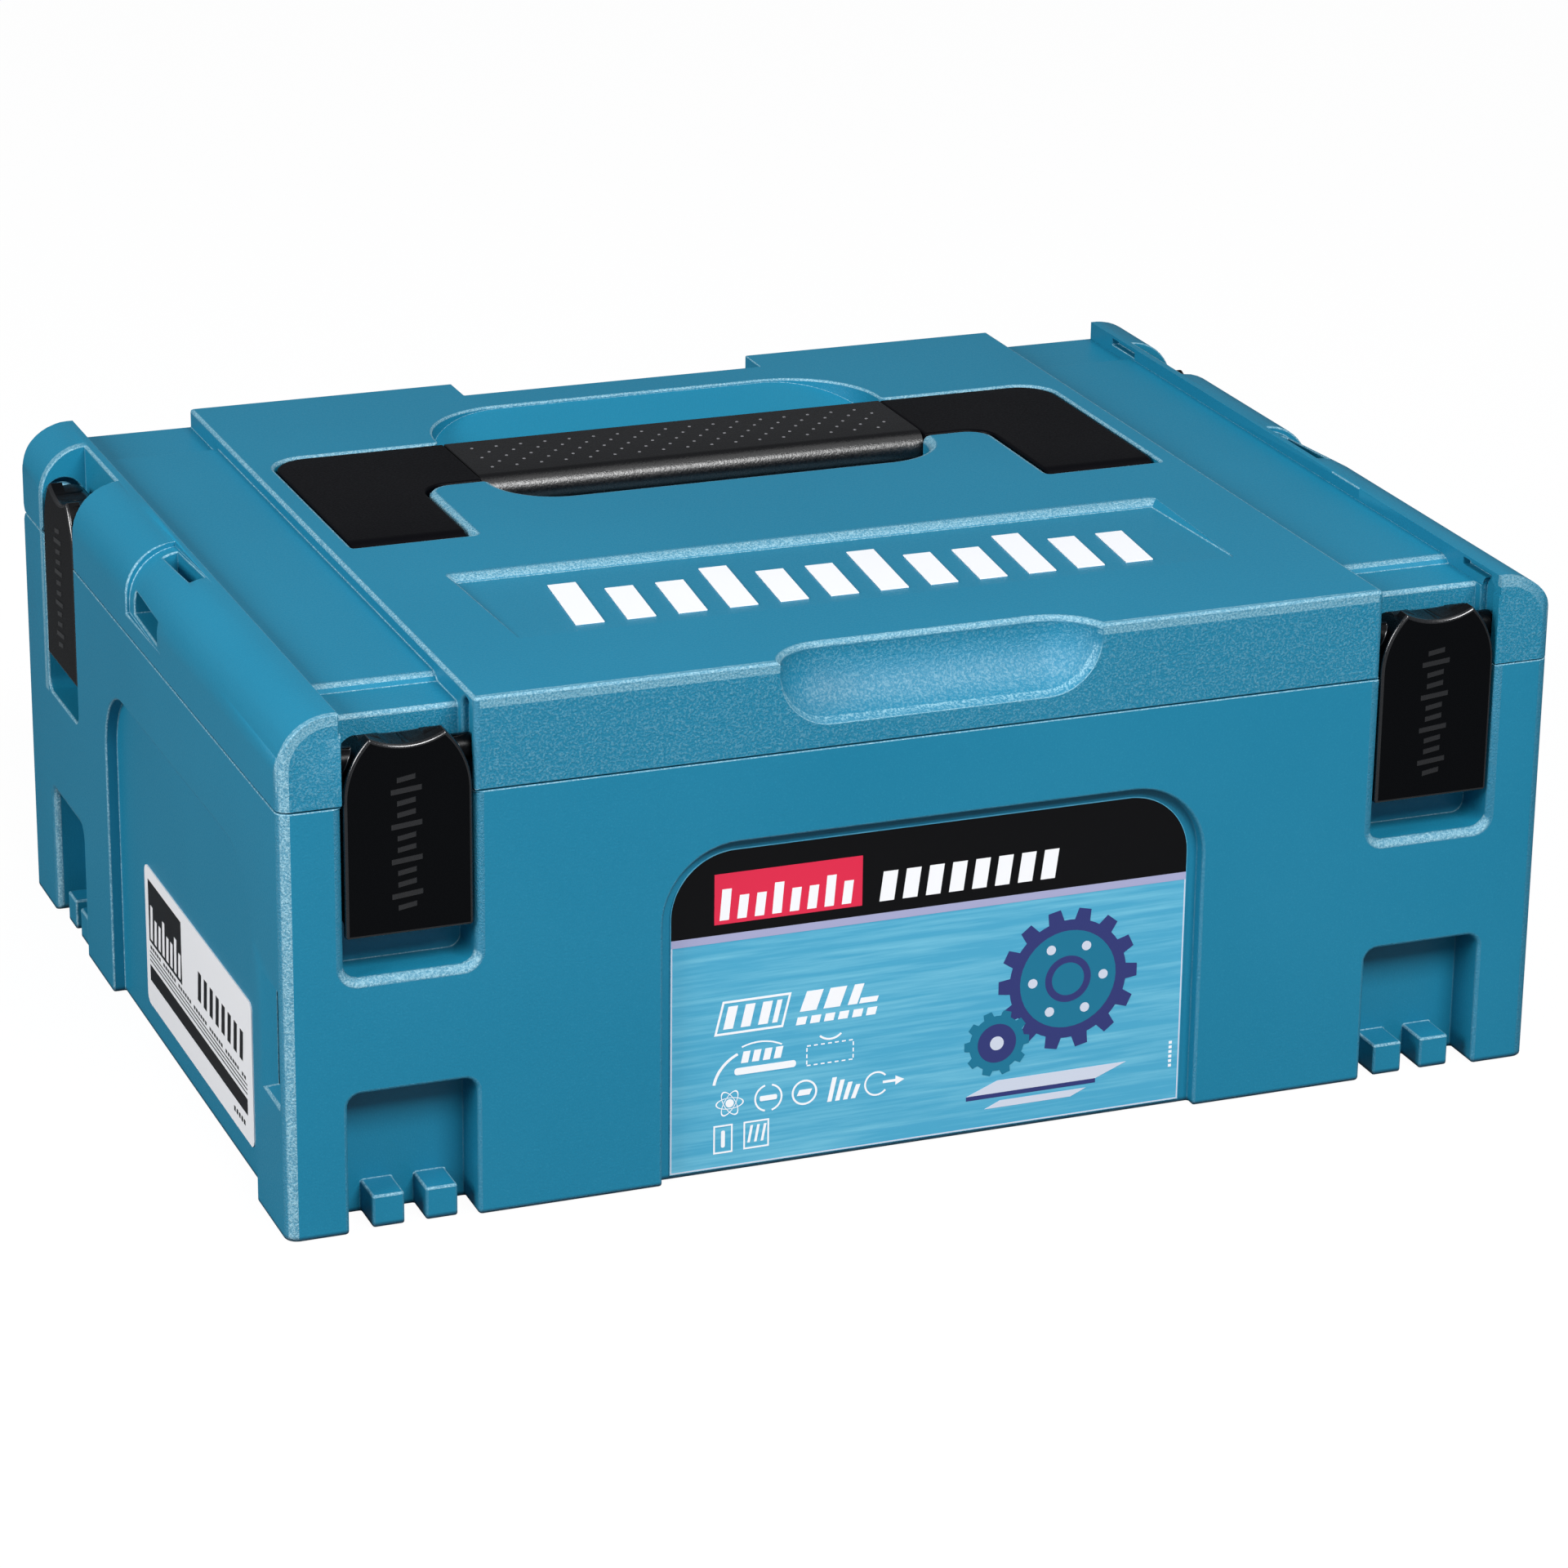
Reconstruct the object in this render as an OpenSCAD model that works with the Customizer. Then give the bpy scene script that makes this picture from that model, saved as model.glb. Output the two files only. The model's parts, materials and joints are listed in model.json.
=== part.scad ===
// Stackable carrying case for a jigsaw, with the jigsaw lying in its insert tray.
// Millimetres. X is the width, the front faces -Y, Z is up, and the case stands on Z = 0.

/* [Case] */
// Width of the case, side to side
case_w = 396; // [384:1:440]
// Depth of the case, front to rear
case_d = 296; // [290:1:330]
// Height of the base, from the ground to the seam
base_h = 130; // [126:1:160]
// Height of the lid, from the seam to its highest faces
lid_h = 27.5; // [27:0.5:34]
// Wall thickness of base and lid
wall = 3; // [2:0.1:3.6]
// Radius of the four upright corners
corner_r = 4; // [2:0.5:6]
// Gap at the seam between base and lid
seam_gap = 0.4; // [0.2:0.1:0.8]

/* [Lid top] */
// Width of the rails along both sides of the lid
rail_w = 18; // [16:0.5:19]
// Radius of the rounded outer side of a rail
rail_r = 16; // [8:0.5:16]
// How far the channels lie below the rails and the plateau
channel_drop = 4; // [2:0.5:5]
// How far the front and rear ends of the channels lie below the rails
strip_drop = 6; // [4:0.5:7]
// Length of those lower ends, from the front or rear face
strip_l = 33; // [24:0.5:36]
// Length of the strap loops in the rails
strap_l = 30; // [20:1:50]
// Width of the notch in the plateau's rear edge
notch_w = 104; // [60:1:140]
// Depth of that notch
notch_d = 14; // [8:1:20]

/* [Finger scoop] */
// Radius of the scoop in the lid's front edge
scoop_r = 17; // [14:0.5:18]
// Length of the scoop
scoop_l = 101; // [70:1:130]

/* [Badge field] */
// Width of the shallow field on the plateau
field_w = 226; // [160:1:240]
// Length of the field, front to rear
field_l = 58; // [40:1:60]
// Distance of the field from the front face
field_in = 44.5; // [42:0.5:46]
// Depth of the field at its rear edge
field_drop = 2; // [1:0.1:2.2]
// Height of the raised bars of the badge
badge_t = 0.4; // [0.4:0.05:0.7]

/* [Handle] */
// Width of the folded handle
handle_w = 266; // [250:1:270]
// Distance from the handle's pivot to the rear edge of its bar
handle_reach = 85; // [80:1:88]
// Width of each arm
arm_w = 37; // [30:1:40]
// Depth of the bar that joins the arms, front to rear
bar_d = 40; // [34:1:42]
// Thickness of the handle
handle_t = 12.6; // [11:0.2:13]
// Length of the soft grip around the bar
grip_l = 150; // [120:1:160]
// Thickness of the soft grip
grip_t = 2; // [1.5:0.1:2.5]
// Radius of the handle's pivot pins
handle_pin_r = 2.5; // [2:0.1:3]

/* [Latches] */
// Width of a latch recess
recess_w = 38.5; // [36:0.5:40]
// Depth of a latch recess
recess_in = 14.7; // [14.5:0.1:16]
// Distance of a front recess from the side of the case
corner_post = 18.5; // [18:0.5:22]
// Distance of the side recesses' middle from the rear face
side_latch_back = 48; // [44:1:56]
// Height of the lower edge of a recess above the ground
recess_low = 78; // [74:1:80]
// Height of the lower edge of a latch above the ground
latch_low = 90; // [88:0.5:93]
// How far a latch's pivot lies above the seam
pivot_up = 11; // [10:0.5:11.5]
// How far a latch's pivot lies behind the face
pivot_in = 7.5; // [7.5:0.1:8]
// Radius of a latch's pivot studs
stud_r = 3.9; // [3:0.1:4.5]
// Thickness of a latch's front plate
latch_t = 3; // [2:0.1:3.5]
// Clearance on each side of a latch
latch_gap = 0.5; // [0.3:0.1:0.8]

/* [Stacking teeth] */
// Height of the alcoves at the ground
alcove_h = 43; // [36:1:50]
// Depth of the alcoves
alcove_in = 14; // [12:0.5:14.5]
// Width of a tooth
tooth_w = 9.6; // [8:0.2:10]
// Height of a tooth
tooth_h = 10; // [8:0.5:12]

/* [Label recesses] */
// Depth of the label recesses
panel_in = 4; // [2:0.5:4.5]
// Height of their upper edges above the ground
panel_top = 104.5; // [90:0.5:106]
// Width of the front recess
front_panel_w = 170; // [120:1:200]
// Length of the side recesses
side_panel_l = 164; // [120:1:170]
// Distance of the side recesses from the front face
side_panel_in = 31; // [30:1:36]
// Radius of the recesses' upper corners
panel_r = 23; // [10:1:30]
// Thickness of the printed labels
label_t = 0.4; // [0.2:0.1:0.8]

/* [Hinge] */
// Distance of the hinge axis from the rear face
hinge_in = 5.2; // [5:0.1:6]
// Radius of the hinge knuckles
knuckle_r = 4.2; // [3.5:0.1:4.5]
// Radius of the hinge pins
hinge_pin_r = 1.5; // [1.2:0.1:2]
// Length of each of the two hinges
hinge_l = 60; // [40:1:80]
// Distance of a hinge's middle from the case's middle
hinge_x = 95; // [80:1:110]

/* [Tray] */
// Thickness of the insert tray's sheet
tray_t = 2; // [1.5:0.1:3]
// Height of the tray's deck above the ground
tray_top = 66; // [56:1:70]
// Clearance between the tray and the case
tray_gap = 1.5; // [1:0.1:3]

/* [Jigsaw] */
// Width of the jigsaw's housing
jig_w = 62; // [60:1:66]
// Wall thickness of the jigsaw's housing
jig_wall = 3; // [2:0.1:3.2]
// Height of the jigsaw from sole to handle top
jig_h = 206; // [204:1:210]
// Stroke of the plunger
stroke = 20; // [16:1:20]
// Width of the sole plate
sole_w = 77; // [70:1:80]
// Length of the sole plate
sole_l = 150; // [140:1:156]
// Thickness of the sole plate
sole_t = 3; // [2:0.1:3]
// Radius of the plunger rod
rod_r = 5; // [4:0.1:5.5]
// How far the blade reaches below the sole
blade_reach = 36; // [30:1:38]
// Teeth of the motor's pinion
pinion_teeth = 11; // [11:1:11]
// Teeth of the crank gear
gear_teeth = 52; // [52:1:52]
// Gear module: pitch diameter over teeth
gear_module = 1; // [0.95:0.01:1]

/* [Hidden] */
$fn = 64;

teal = [0.17, 0.51, 0.63];
black = [0.08, 0.08, 0.1];
white = [0.92, 0.92, 0.93];
label_blue = [0.35, 0.68, 0.83];
tray_grey = [0.2, 0.21, 0.22];
steel = [0.7, 0.71, 0.73];
alloy = [0.6, 0.61, 0.63];
navy = [0.13, 0.14, 0.2];
copper = [0.72, 0.45, 0.2];

eps = 0.01;
over = 50;                            // how far a cut runs past what it cuts
fit = 0.05;                           // radial clearance of a running fit
case_h = base_h + lid_h;
half_w = case_w / 2;
half_d = case_d / 2;
side_latch_y = half_d - side_latch_back;
seam_low = base_h - seam_gap / 2;
seam_high = base_h + seam_gap / 2;
latch_x = half_w - corner_post - recess_w / 2;
plateau_x = latch_x - recess_w / 2;
rail_x = half_w - rail_w;
channel_z = case_h - channel_drop;
strip_z = case_h - strip_drop;
ceiling_z = strip_z - wall;

// ---------- shared shapes ----------
module rounded_rect(w, d, r) {
    square([w - 2 * r, d], center = true);
    square([w, d - 2 * r], center = true);
    for (x = [-1, 1], y = [-1, 1]) translate([x * (w / 2 - r), y * (d / 2 - r)]) circle(r);
}

module box(x0, x1, y0, y1, z0, z1) {
    translate([x0, y0, z0]) cube([x1 - x0, y1 - y0, z1 - z0]);
}

// both sides: the same shape on the right and mirrored on the left
module both_sides() {
    children();
    mirror([1, 0, 0]) children();
}

// local frame of a recess: x along the face, y inwards from the face, z up
module at_front() both_sides() translate([latch_x, -half_d, 0]) children();
module at_sides() both_sides() translate([half_w, side_latch_y, 0]) rotate(90) children();
module at_recesses() {
    at_front() children();
    at_sides() children();
}

// upright pocket with rounded upper corners, open at the ground; local frame of a recess
module arch_pocket(w, h, depth, r) {
    translate([0, -over, 0]) rotate([-90, 0, 0]) mirror([0, 1, 0]) linear_extrude(depth + over) {
        translate([-w / 2, -over]) square([w, over + h - r]);
        translate([-w / 2 + r, -over]) square([w - 2 * r, over + h]);
        for (x = [-1, 1]) translate([x * (w / 2 - r), h - r]) circle(r);
    }
}

// round-topped groove in both side walls of a front latch recess
slot_w = 2 * (stud_r + fit);
slot_in = 2.2;                        // how far the groove goes into the side wall
slot_top = strip_z - 0.5;             // middle of its round top
module stud_slots() {
    for (x = [-1, 1]) translate([x * (recess_w / 2 + slot_in / 2), pivot_in, 0]) {
        translate([0, 0, slot_top]) rotate([0, 90, 0]) cylinder(r = slot_w / 2, h = slot_in, center = true);
        translate([0, 0, slot_top - over / 2])
            cube([slot_in, slot_w, over], center = true);
    }
}

// ---------- case: base ----------
inner_r = 2;                          // corner radius inside the case
module inner_plan(front_panel, side_panel, side_room) {
    difference() {
        rounded_rect(case_w - 2 * wall, case_d - 2 * wall, inner_r);
        for (s = [-1, 1]) {
            translate([s * latch_x, -half_d])
                square([recess_w + 2 * wall, 2 * (recess_in + wall)], center = true);
            translate([s * half_w, side_latch_y])
                square([2 * (recess_in + wall), recess_w + 2 * wall + 2 * side_room], center = true);
            if (side_panel) translate([s * half_w, side_panel_y])
                square([2 * (panel_in + wall), side_panel_l + 2 * wall], center = true);
        }
        if (front_panel) translate([0, -half_d])
            square([front_panel_w + 2 * wall, 2 * (panel_in + wall)], center = true);
    }
}
side_panel_y = -half_d + side_panel_in + side_panel_l / 2;
recess_r = 4;                         // radius of the recesses' lower corners
lip_t = 1.2;
lip_h = 3;
lip_gap = 0.35;
lip_end = 8;                          // the lip stops this far from a recess
front_lip_x = latch_x - recess_w / 2 - wall - lip_end;
side_lip_y0 = -half_d + recess_in + 2 * wall + lip_end;
side_lip_y1 = side_latch_y - recess_w / 2 - wall - lip_end;

// lip that keeps the lid in line; grow widens it for the groove in the lid
module rim_lip(grow) {
    y0 = -half_d + wall - lip_t;
    box(-front_lip_x - grow, front_lip_x + grow, y0 - grow, y0 + lip_t + grow,
        seam_low - 1 + grow, base_h + lip_h + grow);
    both_sides() box(half_w - wall - grow, half_w - wall + lip_t + grow,
        side_lip_y0 - grow, side_lip_y1 + grow, seam_low - 1 + grow, base_h + lip_h + grow);
}

// teeth that a latch of the case below takes hold of; local frame of a recess
tooth_x = [-13.6, 2.3];               // left edges of the two teeth
module teeth(depth, back, z0) {
    for (x = tooth_x) box(x, x + tooth_w, back - depth, back + eps, z0, z0 + tooth_h);
}
catch_z = latch_low + 14;             // lower face of the teeth behind a latch
catch_teeth_in = 5.7;                 // how far those teeth stand out of the recess
alcove_teeth_in = alcove_in - 2;      // how far the teeth at the ground stand out

// V groove along the rear of the seam, which lets the lid swing back
groove_rise = 6;
module rear_groove(dir) {
    translate([-half_w - 1, half_d - hinge_in, base_h]) rotate([90, 0, 90])
        linear_extrude(case_w + 2)
            polygon([[0, 0], [hinge_in + 1, 0],
                [hinge_in + 1, dir * groove_rise * (hinge_in + 1) / hinge_in]]);
}

knuckle_gap = 0.4;
knuckle_l = (hinge_l - 2 * knuckle_gap) / 4;   // one outer knuckle; the middle one is twice as long
module hinge_axis(x0, x1, r) {
    for (s = [-1, 1]) translate([s * hinge_x + x0, half_d - hinge_in, base_h])
        rotate([0, 90, 0]) cylinder(r = r, h = x1 - x0);
}
module base_knuckles(grow) {
    hinge_axis(-hinge_l / 2 - grow, -hinge_l / 2 + knuckle_l + grow, knuckle_r + grow);
    hinge_axis(hinge_l / 2 - knuckle_l - grow, hinge_l / 2 + grow, knuckle_r + grow);
}
module lid_knuckles(grow) {
    hinge_axis(-knuckle_l - grow, knuckle_l + grow, knuckle_r + grow);
}
rim_low = base_h - 14;                // the rear walls are thicker from here
rim_high = base_h + 14;               // up to here, to carry the hinges
rim_y = half_d - hinge_in - knuckle_r - 1;

// ears that carry the side latches; they stand in pockets of the lid
ear_t = 3;
ear_d = 9;
ear_clear = 2;
module side_ears(grow) {
    for (s = [-1, 1]) {
        x0 = s > 0 ? recess_w / 2 + latch_gap : -recess_w / 2 - latch_gap - ear_t;
        translate([x0 - grow, pivot_in, 0]) rotate([90, 0, 90]) linear_extrude(ear_t + 2 * grow) {
            translate([0, base_h + pivot_up]) circle(ear_d / 2 + grow);
            translate([-ear_d / 2 - grow, base_h - (grow > 0 ? over : 10)])
                square([ear_d + 2 * grow, pivot_up + (grow > 0 ? over : 10)]);
        }
    }
}
side_stud_r = 2.5;

module base_shell() color(teal) difference() {
    union() {
        difference() {
            linear_extrude(seam_low) rounded_rect(case_w, case_d, corner_r);
            translate([0, 0, wall]) linear_extrude(panel_top + eps) inner_plan(true, true, 0);
            difference() {
                translate([0, 0, panel_top + wall]) linear_extrude(base_h) inner_plan(false, false, 0);
                box(-half_w, half_w, rim_y, half_d, rim_low, base_h);
            }
            at_recesses() box(-recess_w / 2, recess_w / 2, -1, recess_in, recess_low + recess_r, case_h);
            at_recesses() box(-recess_w / 2 + recess_r, recess_w / 2 - recess_r, -1, recess_in,
                recess_low, case_h);
            at_recesses() for (s = [-1, 1])
                translate([s * (recess_w / 2 - recess_r), -1, recess_low + recess_r])
                    rotate([-90, 0, 0]) cylinder(r = recess_r, h = recess_in + 1);
            at_recesses() arch_pocket(recess_w, alcove_h, alcove_in, recess_r);
            translate([0, -half_d, 0]) arch_pocket(front_panel_w, panel_top, panel_in, panel_r);
            both_sides() translate([half_w, side_panel_y, 0]) rotate(90)
                arch_pocket(side_panel_l, panel_top, panel_in, panel_r);
            rear_groove(-1);
            underside();
            corner_pockets();
        }
        at_recesses() teeth(catch_teeth_in, recess_in, catch_z);
        at_recesses() teeth(alcove_teeth_in, alcove_in, 0);
        rim_lip(0);
        at_sides() difference() {
            side_ears(0);
            translate([0, pivot_in, base_h + pivot_up]) rotate([0, 90, 0])
                cylinder(r = side_stud_r + fit, h = case_d, center = true);
        }
        base_knuckles(0);
    }
    lid_knuckles(knuckle_gap);
    hinge_axis(-hinge_l / 2 - 1, hinge_l / 2 + 1, hinge_pin_r + fit / 2);
}

// hollow under the floor, and the bars across it that stiffen the base
under_h = 1.2;
under_edge = 26;
module underside() {
    n = 4;
    w = (case_w - 2 * under_edge) / n;
    for (i = [0 : n - 1]) translate([-half_w + under_edge + w * (i + 0.5), 0, 0])
        cube([w - 8, case_d - 2 * under_edge - 20, 2 * under_h], center = true);
}

// upright pocket in the side of each front corner
corner_pocket = [40, 76];             // lower and upper edge
corner_pocket_in = 5;                 // depth; its rear wall and its floor are ramps
module corner_pockets() {
    y0 = -half_d + 5;
    y1 = -half_d + 21;
    z0 = corner_pocket[0];
    d = corner_pocket_in;
    both_sides() intersection() {
        translate([0, 0, z0 - 1]) linear_extrude(corner_pocket[1] - z0 + 1)
            polygon([[half_w - d, y0], [half_w + 1, y0], [half_w + 1, y1 + 2], [half_w - d, y1 - 2 * d]]);
        translate([0, y1 + 3, 0]) rotate([90, 0, 0]) linear_extrude(over)
            polygon([[half_w - d - 1, z0 + d], [half_w - d, z0 + d], [half_w, z0], [half_w + 1, z0],
                [half_w + 1, case_h], [half_w - d - 1, case_h]]);
    }
}

// ---------- case: lid ----------
module lid_profile() {
    difference() {
        union() {
            translate([-half_w, seam_high]) square([case_w, channel_z - seam_high]);
            translate([-plateau_x, seam_high]) square([2 * plateau_x, case_h - seam_high]);
            for (s = [-1, 1]) translate([s * (half_w - rail_w / 2), seam_high + lid_h / 2 - seam_gap / 4])
                square([rail_w, lid_h - seam_gap / 2], center = true);
        }
        for (s = [-1, 1]) translate([s * (half_w - rail_r), case_h - rail_r]) difference() {
            translate([s * rail_r, rail_r]) square(2 * rail_r, center = true);
            circle(rail_r);
        }
    }
}

scoop_y = -half_d - 4;                // axis of the scoop
scoop_z = case_h - 3.9;
module scoop(r, l) {
    hull_l = l - 2 * scoop_r;
    translate([-hull_l / 2, scoop_y, scoop_z]) rotate([0, 90, 0]) cylinder(r = r, h = hull_l);
    for (s = [-1, 1]) translate([s * hull_l / 2, scoop_y, scoop_z]) sphere(r);
}

handle_r = 12;                        // outer rear corners of the folded handle
handle_gap = 0.7;
pivot_r = handle_t / 2;               // the arms' ends are round about the pivot
handle_top = case_h - 0.3;
handle_axis_z = handle_top - pivot_r;
arm_x = handle_w / 2 - arm_w / 2;
bar_y = handle_reach - bar_d / 2;
nook_r = 9;                           // inner corner between arm and bar
// outline of the folded handle, grown by g, from its pivot axis backwards
module handle_plan(g, front) {
    w = handle_w + 2 * g;
    intersection() {
        translate([0, handle_reach - 100 + g]) rounded_rect(w, 200, handle_r);
        union() {
            for (s = [-1, 1]) translate([s * arm_x, (handle_reach + front) / 2 - front + 0])
                square([arm_w + 2 * g, handle_reach + front + 2 * g], center = true);
            translate([0, bar_y]) square([w, bar_d + 2 * g], center = true);
            for (s = [-1, 1]) translate([s * (arm_x - arm_w / 2 - g - nook_r),
                    bar_y - bar_d / 2 - g - nook_r]) difference() {
                translate([s * nook_r / 2, nook_r / 2]) square(nook_r, center = true);
                circle(nook_r);
            }
        }
    }
}
recess_floor = handle_top - handle_t - handle_gap;
// finger room before and behind the bar
front_room_w = 146;
front_room_y = 21;
rear_room_w = 152;
rear_room_y = 119;
rear_room_r = 30;
room_floor = case_h - 11;
module handle_recess() {
    translate([0, 0, recess_floor]) linear_extrude(over) handle_plan(handle_gap, pivot_r);
    translate([0, (front_room_y + bar_y) / 2, room_floor]) linear_extrude(over)
        rounded_rect(front_room_w, bar_y - front_room_y, 20);
    intersection() {
        translate([0, (rear_room_y + bar_y - 20) / 2, recess_floor]) linear_extrude(over)
            rounded_rect(rear_room_w, rear_room_y - bar_y + 20, rear_room_r);
        translate([-half_w, 0, 0]) rotate([90, 0, 90]) linear_extrude(case_w)
            polygon([[handle_reach, room_floor], [rear_room_y, case_h - 1],
                [rear_room_y + 1, case_h + 9], [handle_reach, case_h + 9]]);
    }
}
room_box_y0 = -pivot_r - handle_gap - wall;    // the lid is thicker around the handle recess
room_box_y1 = handle_reach + 22;

module badge_field() {
    y0 = -half_d + field_in;
    translate([-field_w / 2, 0, 0]) rotate([90, 0, 90]) linear_extrude(field_w)
        polygon([[y0, case_h - 0.25], [y0 + field_l, case_h - field_drop],
            [y0 + field_l, case_h + 1], [y0, case_h + 1]]);
}

strap_y = -5.5;                       // middle of the strap loops
strap_low = base_h + 8;               // floor of the loops
strap_tilt = 2;                       // the strap's path sinks into the rail towards the rear
// dip in the rail's round outside, from nothing before the loop to its deepest behind it
module strap_dip() {
    y0 = strap_y - strap_l / 2 - 6;
    difference() {
        box(half_w - rail_r, half_w + 1, y0, strap_y + strap_l / 2 + 5.5, strap_low - 1.5, case_h + 1);
        translate([half_w - rail_r, y0, case_h - rail_r]) rotate([-strap_tilt, 0, strap_tilt]) {
            translate([0, -5, 0]) rotate([-90, 0, 0]) cylinder(r = rail_r, h = strap_l + 30);
            translate([-3, -5, -rail_r]) cube([rail_r + 3, strap_l + 30, rail_r]);
        }
    }
}
module strap_slots() {
    both_sides() {
        translate([0, strap_y, 0]) {
            box(rail_x + 2.7, half_w - 10.7, -strap_l / 2, strap_l / 2, strap_low, case_h + 1);
            box(rail_x + 2.7, half_w + 1, -strap_l / 2, strap_l / 2, strap_low, strap_low + 7);
        }
        strap_dip();
        for (y = [-half_d + 6, half_d - 36])
            box(rail_x - 1, rail_x + 2.5, y, y + 18, channel_z + 0.8, case_h - 0.9);
    }
}

pocket_ceiling = case_h - wall - 1.5;
module lid_cavity() {
    difference() {
        translate([0, 0, base_h - 1]) linear_extrude(ceiling_z - base_h + 1) lid_plan();
        box(-plateau_x, plateau_x, room_box_y0, room_box_y1, recess_floor - wall, case_h);
        box(-half_w, half_w, rim_y, half_d, base_h - 2, rim_high);
        both_sides() box(rail_x, half_w, strap_y - strap_l / 2 - 3 * wall, strap_y + strap_l / 2 + 3 * wall,
            strap_low - 1.5 - wall, case_h);
    }
    // two rows of pockets between the stiffening ribs of the plateau
    n = 5;
    w = 2 * (plateau_x - wall) / n;
    y0 = -half_d + field_in - 14;
    y1 = room_box_y0 - 4;
    for (i = [0 : n - 1], k = [0, 1]) translate([-plateau_x + wall + w * (i + 0.5),
            y0 + (y1 - y0) * (k + 0.5) / 2, base_h + (pocket_ceiling - base_h) / 2])
        cube([w - 3, (y1 - y0) / 2 - 3, pocket_ceiling - base_h], center = true);
}
module lid_plan() {
    difference() {
        inner_plan(false, false, ear_t + 2);
        translate([0, -half_d]) square([scoop_l + 2 * wall, 2 * (scoop_r - 4 + wall)], center = true);
    }
}

module lid_shell() color(teal) difference() {
    union() {
        difference() {
            intersection() {
                translate([0, half_d, 0]) rotate([90, 0, 0]) linear_extrude(case_d) lid_profile();
                linear_extrude(case_h + 1) rounded_rect(case_w, case_d, corner_r);
            }
            lid_cavity();
            for (s = [-1, 1]) both_sides() box(plateau_x, rail_x,
                s > 0 ? half_d - strip_l : -half_d - 1, s > 0 ? half_d + 1 : -half_d + strip_l,
                strip_z, case_h + 1);
            at_front() box(-recess_w / 2, recess_w / 2, -1, recess_in, base_h - 1, case_h + 1);
            at_sides() box(-recess_w / 2 - 0.8, recess_w / 2 + 0.8, -1, recess_in, base_h - 1, case_h + 1);
            at_front() stud_slots();
            at_sides() side_ears(ear_clear);
            translate([0, half_d, case_h]) cube([notch_w, 2 * notch_d, 2 * strip_drop], center = true);
            scoop(scoop_r, scoop_l);
            handle_recess();
            badge_field();
            strap_slots();
            rim_lip(lip_gap);
            rear_groove(1);
        }
        lid_knuckles(0);
        // bosses that hold the handle's pins
        both_sides() box(handle_w / 2 + handle_gap, plateau_x - eps, -pivot_r, pivot_r,
            recess_floor - 1, channel_z - 1);
    }
    base_knuckles(knuckle_gap);
    hinge_axis(-hinge_l / 2 - 1, hinge_l / 2 + 1, hinge_pin_r + fit);
    both_sides() handle_pin(fit / 2);
}

module hinge_pins() color(steel) hinge_axis(-hinge_l / 2, hinge_l / 2, hinge_pin_r);

// ---------- case: handle ----------
handle_pin_l = 16;
module handle_pin(g) {
    translate([handle_w / 2 + 5 - handle_pin_l, 0, handle_axis_z]) rotate([0, 90, 0])
        cylinder(r = handle_pin_r + g, h = handle_pin_l);
}
module handle_pins() color(steel) both_sides() handle_pin(0);

grip_edge = 9;                        // radius of the grip's front edge
module grip_section(g) {
    r = grip_edge - g;
    y0 = bar_y - bar_d / 2 + g;
    y1 = handle_reach - g;
    z0 = handle_top - handle_t + 1 + g;
    z1 = handle_top - g;
    zr = min(r, (z1 - z0) / 2);
    translate([y0 + zr, z0]) square([y1 - y0 - zr, z1 - z0]);
    translate([y0 + zr, (z0 + z1) / 2]) circle((z1 - z0) / 2);
    translate([y0 + zr, z0]) square([zr, z1 - z0]);
}
module handle_frame() color(black) difference() {
    union() {
        difference() {
            union() {
                intersection() {
                    translate([0, 0, handle_top - handle_t]) linear_extrude(handle_t) handle_plan(0, 0);
                    box(-half_w, half_w, 0, half_d, 0, case_h);
                }
                for (s = [-1, 1]) translate([s * arm_x - arm_w / 2, 0, handle_axis_z])
                    rotate([0, 90, 0]) cylinder(r = pivot_r, h = arm_w);
            }
            box(-grip_l / 2, grip_l / 2, -over, case_d, 0, case_h + 1);
        }
        translate([-grip_l / 2 - 1, 0, 0]) rotate([90, 0, 90]) linear_extrude(grip_l + 2)
            grip_section(grip_t);
    }
    both_sides() handle_pin(fit);
}
module handle_grip() color(black) translate([-grip_l / 2, 0, 0]) rotate([90, 0, 90])
    linear_extrude(grip_l) difference() {
        grip_section(0);
        grip_section(grip_t);
    }

// ---------- case: latches ----------
latch_w = recess_w - 2 * latch_gap;
latch_top = base_h + pivot_up + 8;
shoulder_z = latch_top - 18;          // where the sides start to lean in
horn_x = latch_w / 2 - 7.75;          // the two tips of the upper edge
shoulder_r = (pow(latch_w / 2 - horn_x, 2) + 324) / (2 * (latch_w / 2 - horn_x));
dip = 2.8;                            // depth of the hollow between the tips
dip_r = (horn_x * horn_x + dip * dip) / (2 * dip);
// face of a latch, x across and y up, drawn g smaller at the sides
module latch_face(g) {
    difference() {
        union() {
            translate([-latch_w / 2 + g, latch_low]) square([latch_w - 2 * g, shoulder_z - latch_low]);
            intersection() {
                translate([latch_w / 2 - shoulder_r, shoulder_z]) circle(shoulder_r - g, $fn = 128);
                translate([-latch_w / 2 + shoulder_r, shoulder_z]) circle(shoulder_r - g, $fn = 128);
                translate([-latch_w / 2, shoulder_z - 1]) square([latch_w, latch_top - shoulder_z + 1]);
            }
        }
        translate([0, latch_top - dip + dip_r + g * 0.2]) circle(dip_r, $fn = 128);
    }
}
face_in = 0.2;                        // the latch stays this far inside the case's face
latch_d = recess_in - 2.2;
module latch_side_view() {
    translate([face_in, latch_low]) square([latch_d - face_in, base_h + pivot_up - latch_low]);
    translate([pivot_in, base_h + pivot_up]) circle(6.6);
    translate([face_in, base_h + pivot_up]) square([4.8 - face_in, latch_top - base_h - pivot_up]);
}
module upright(depth) { rotate([90, 0, 0]) mirror([0, 0, 1]) linear_extrude(depth) children(); }
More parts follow.
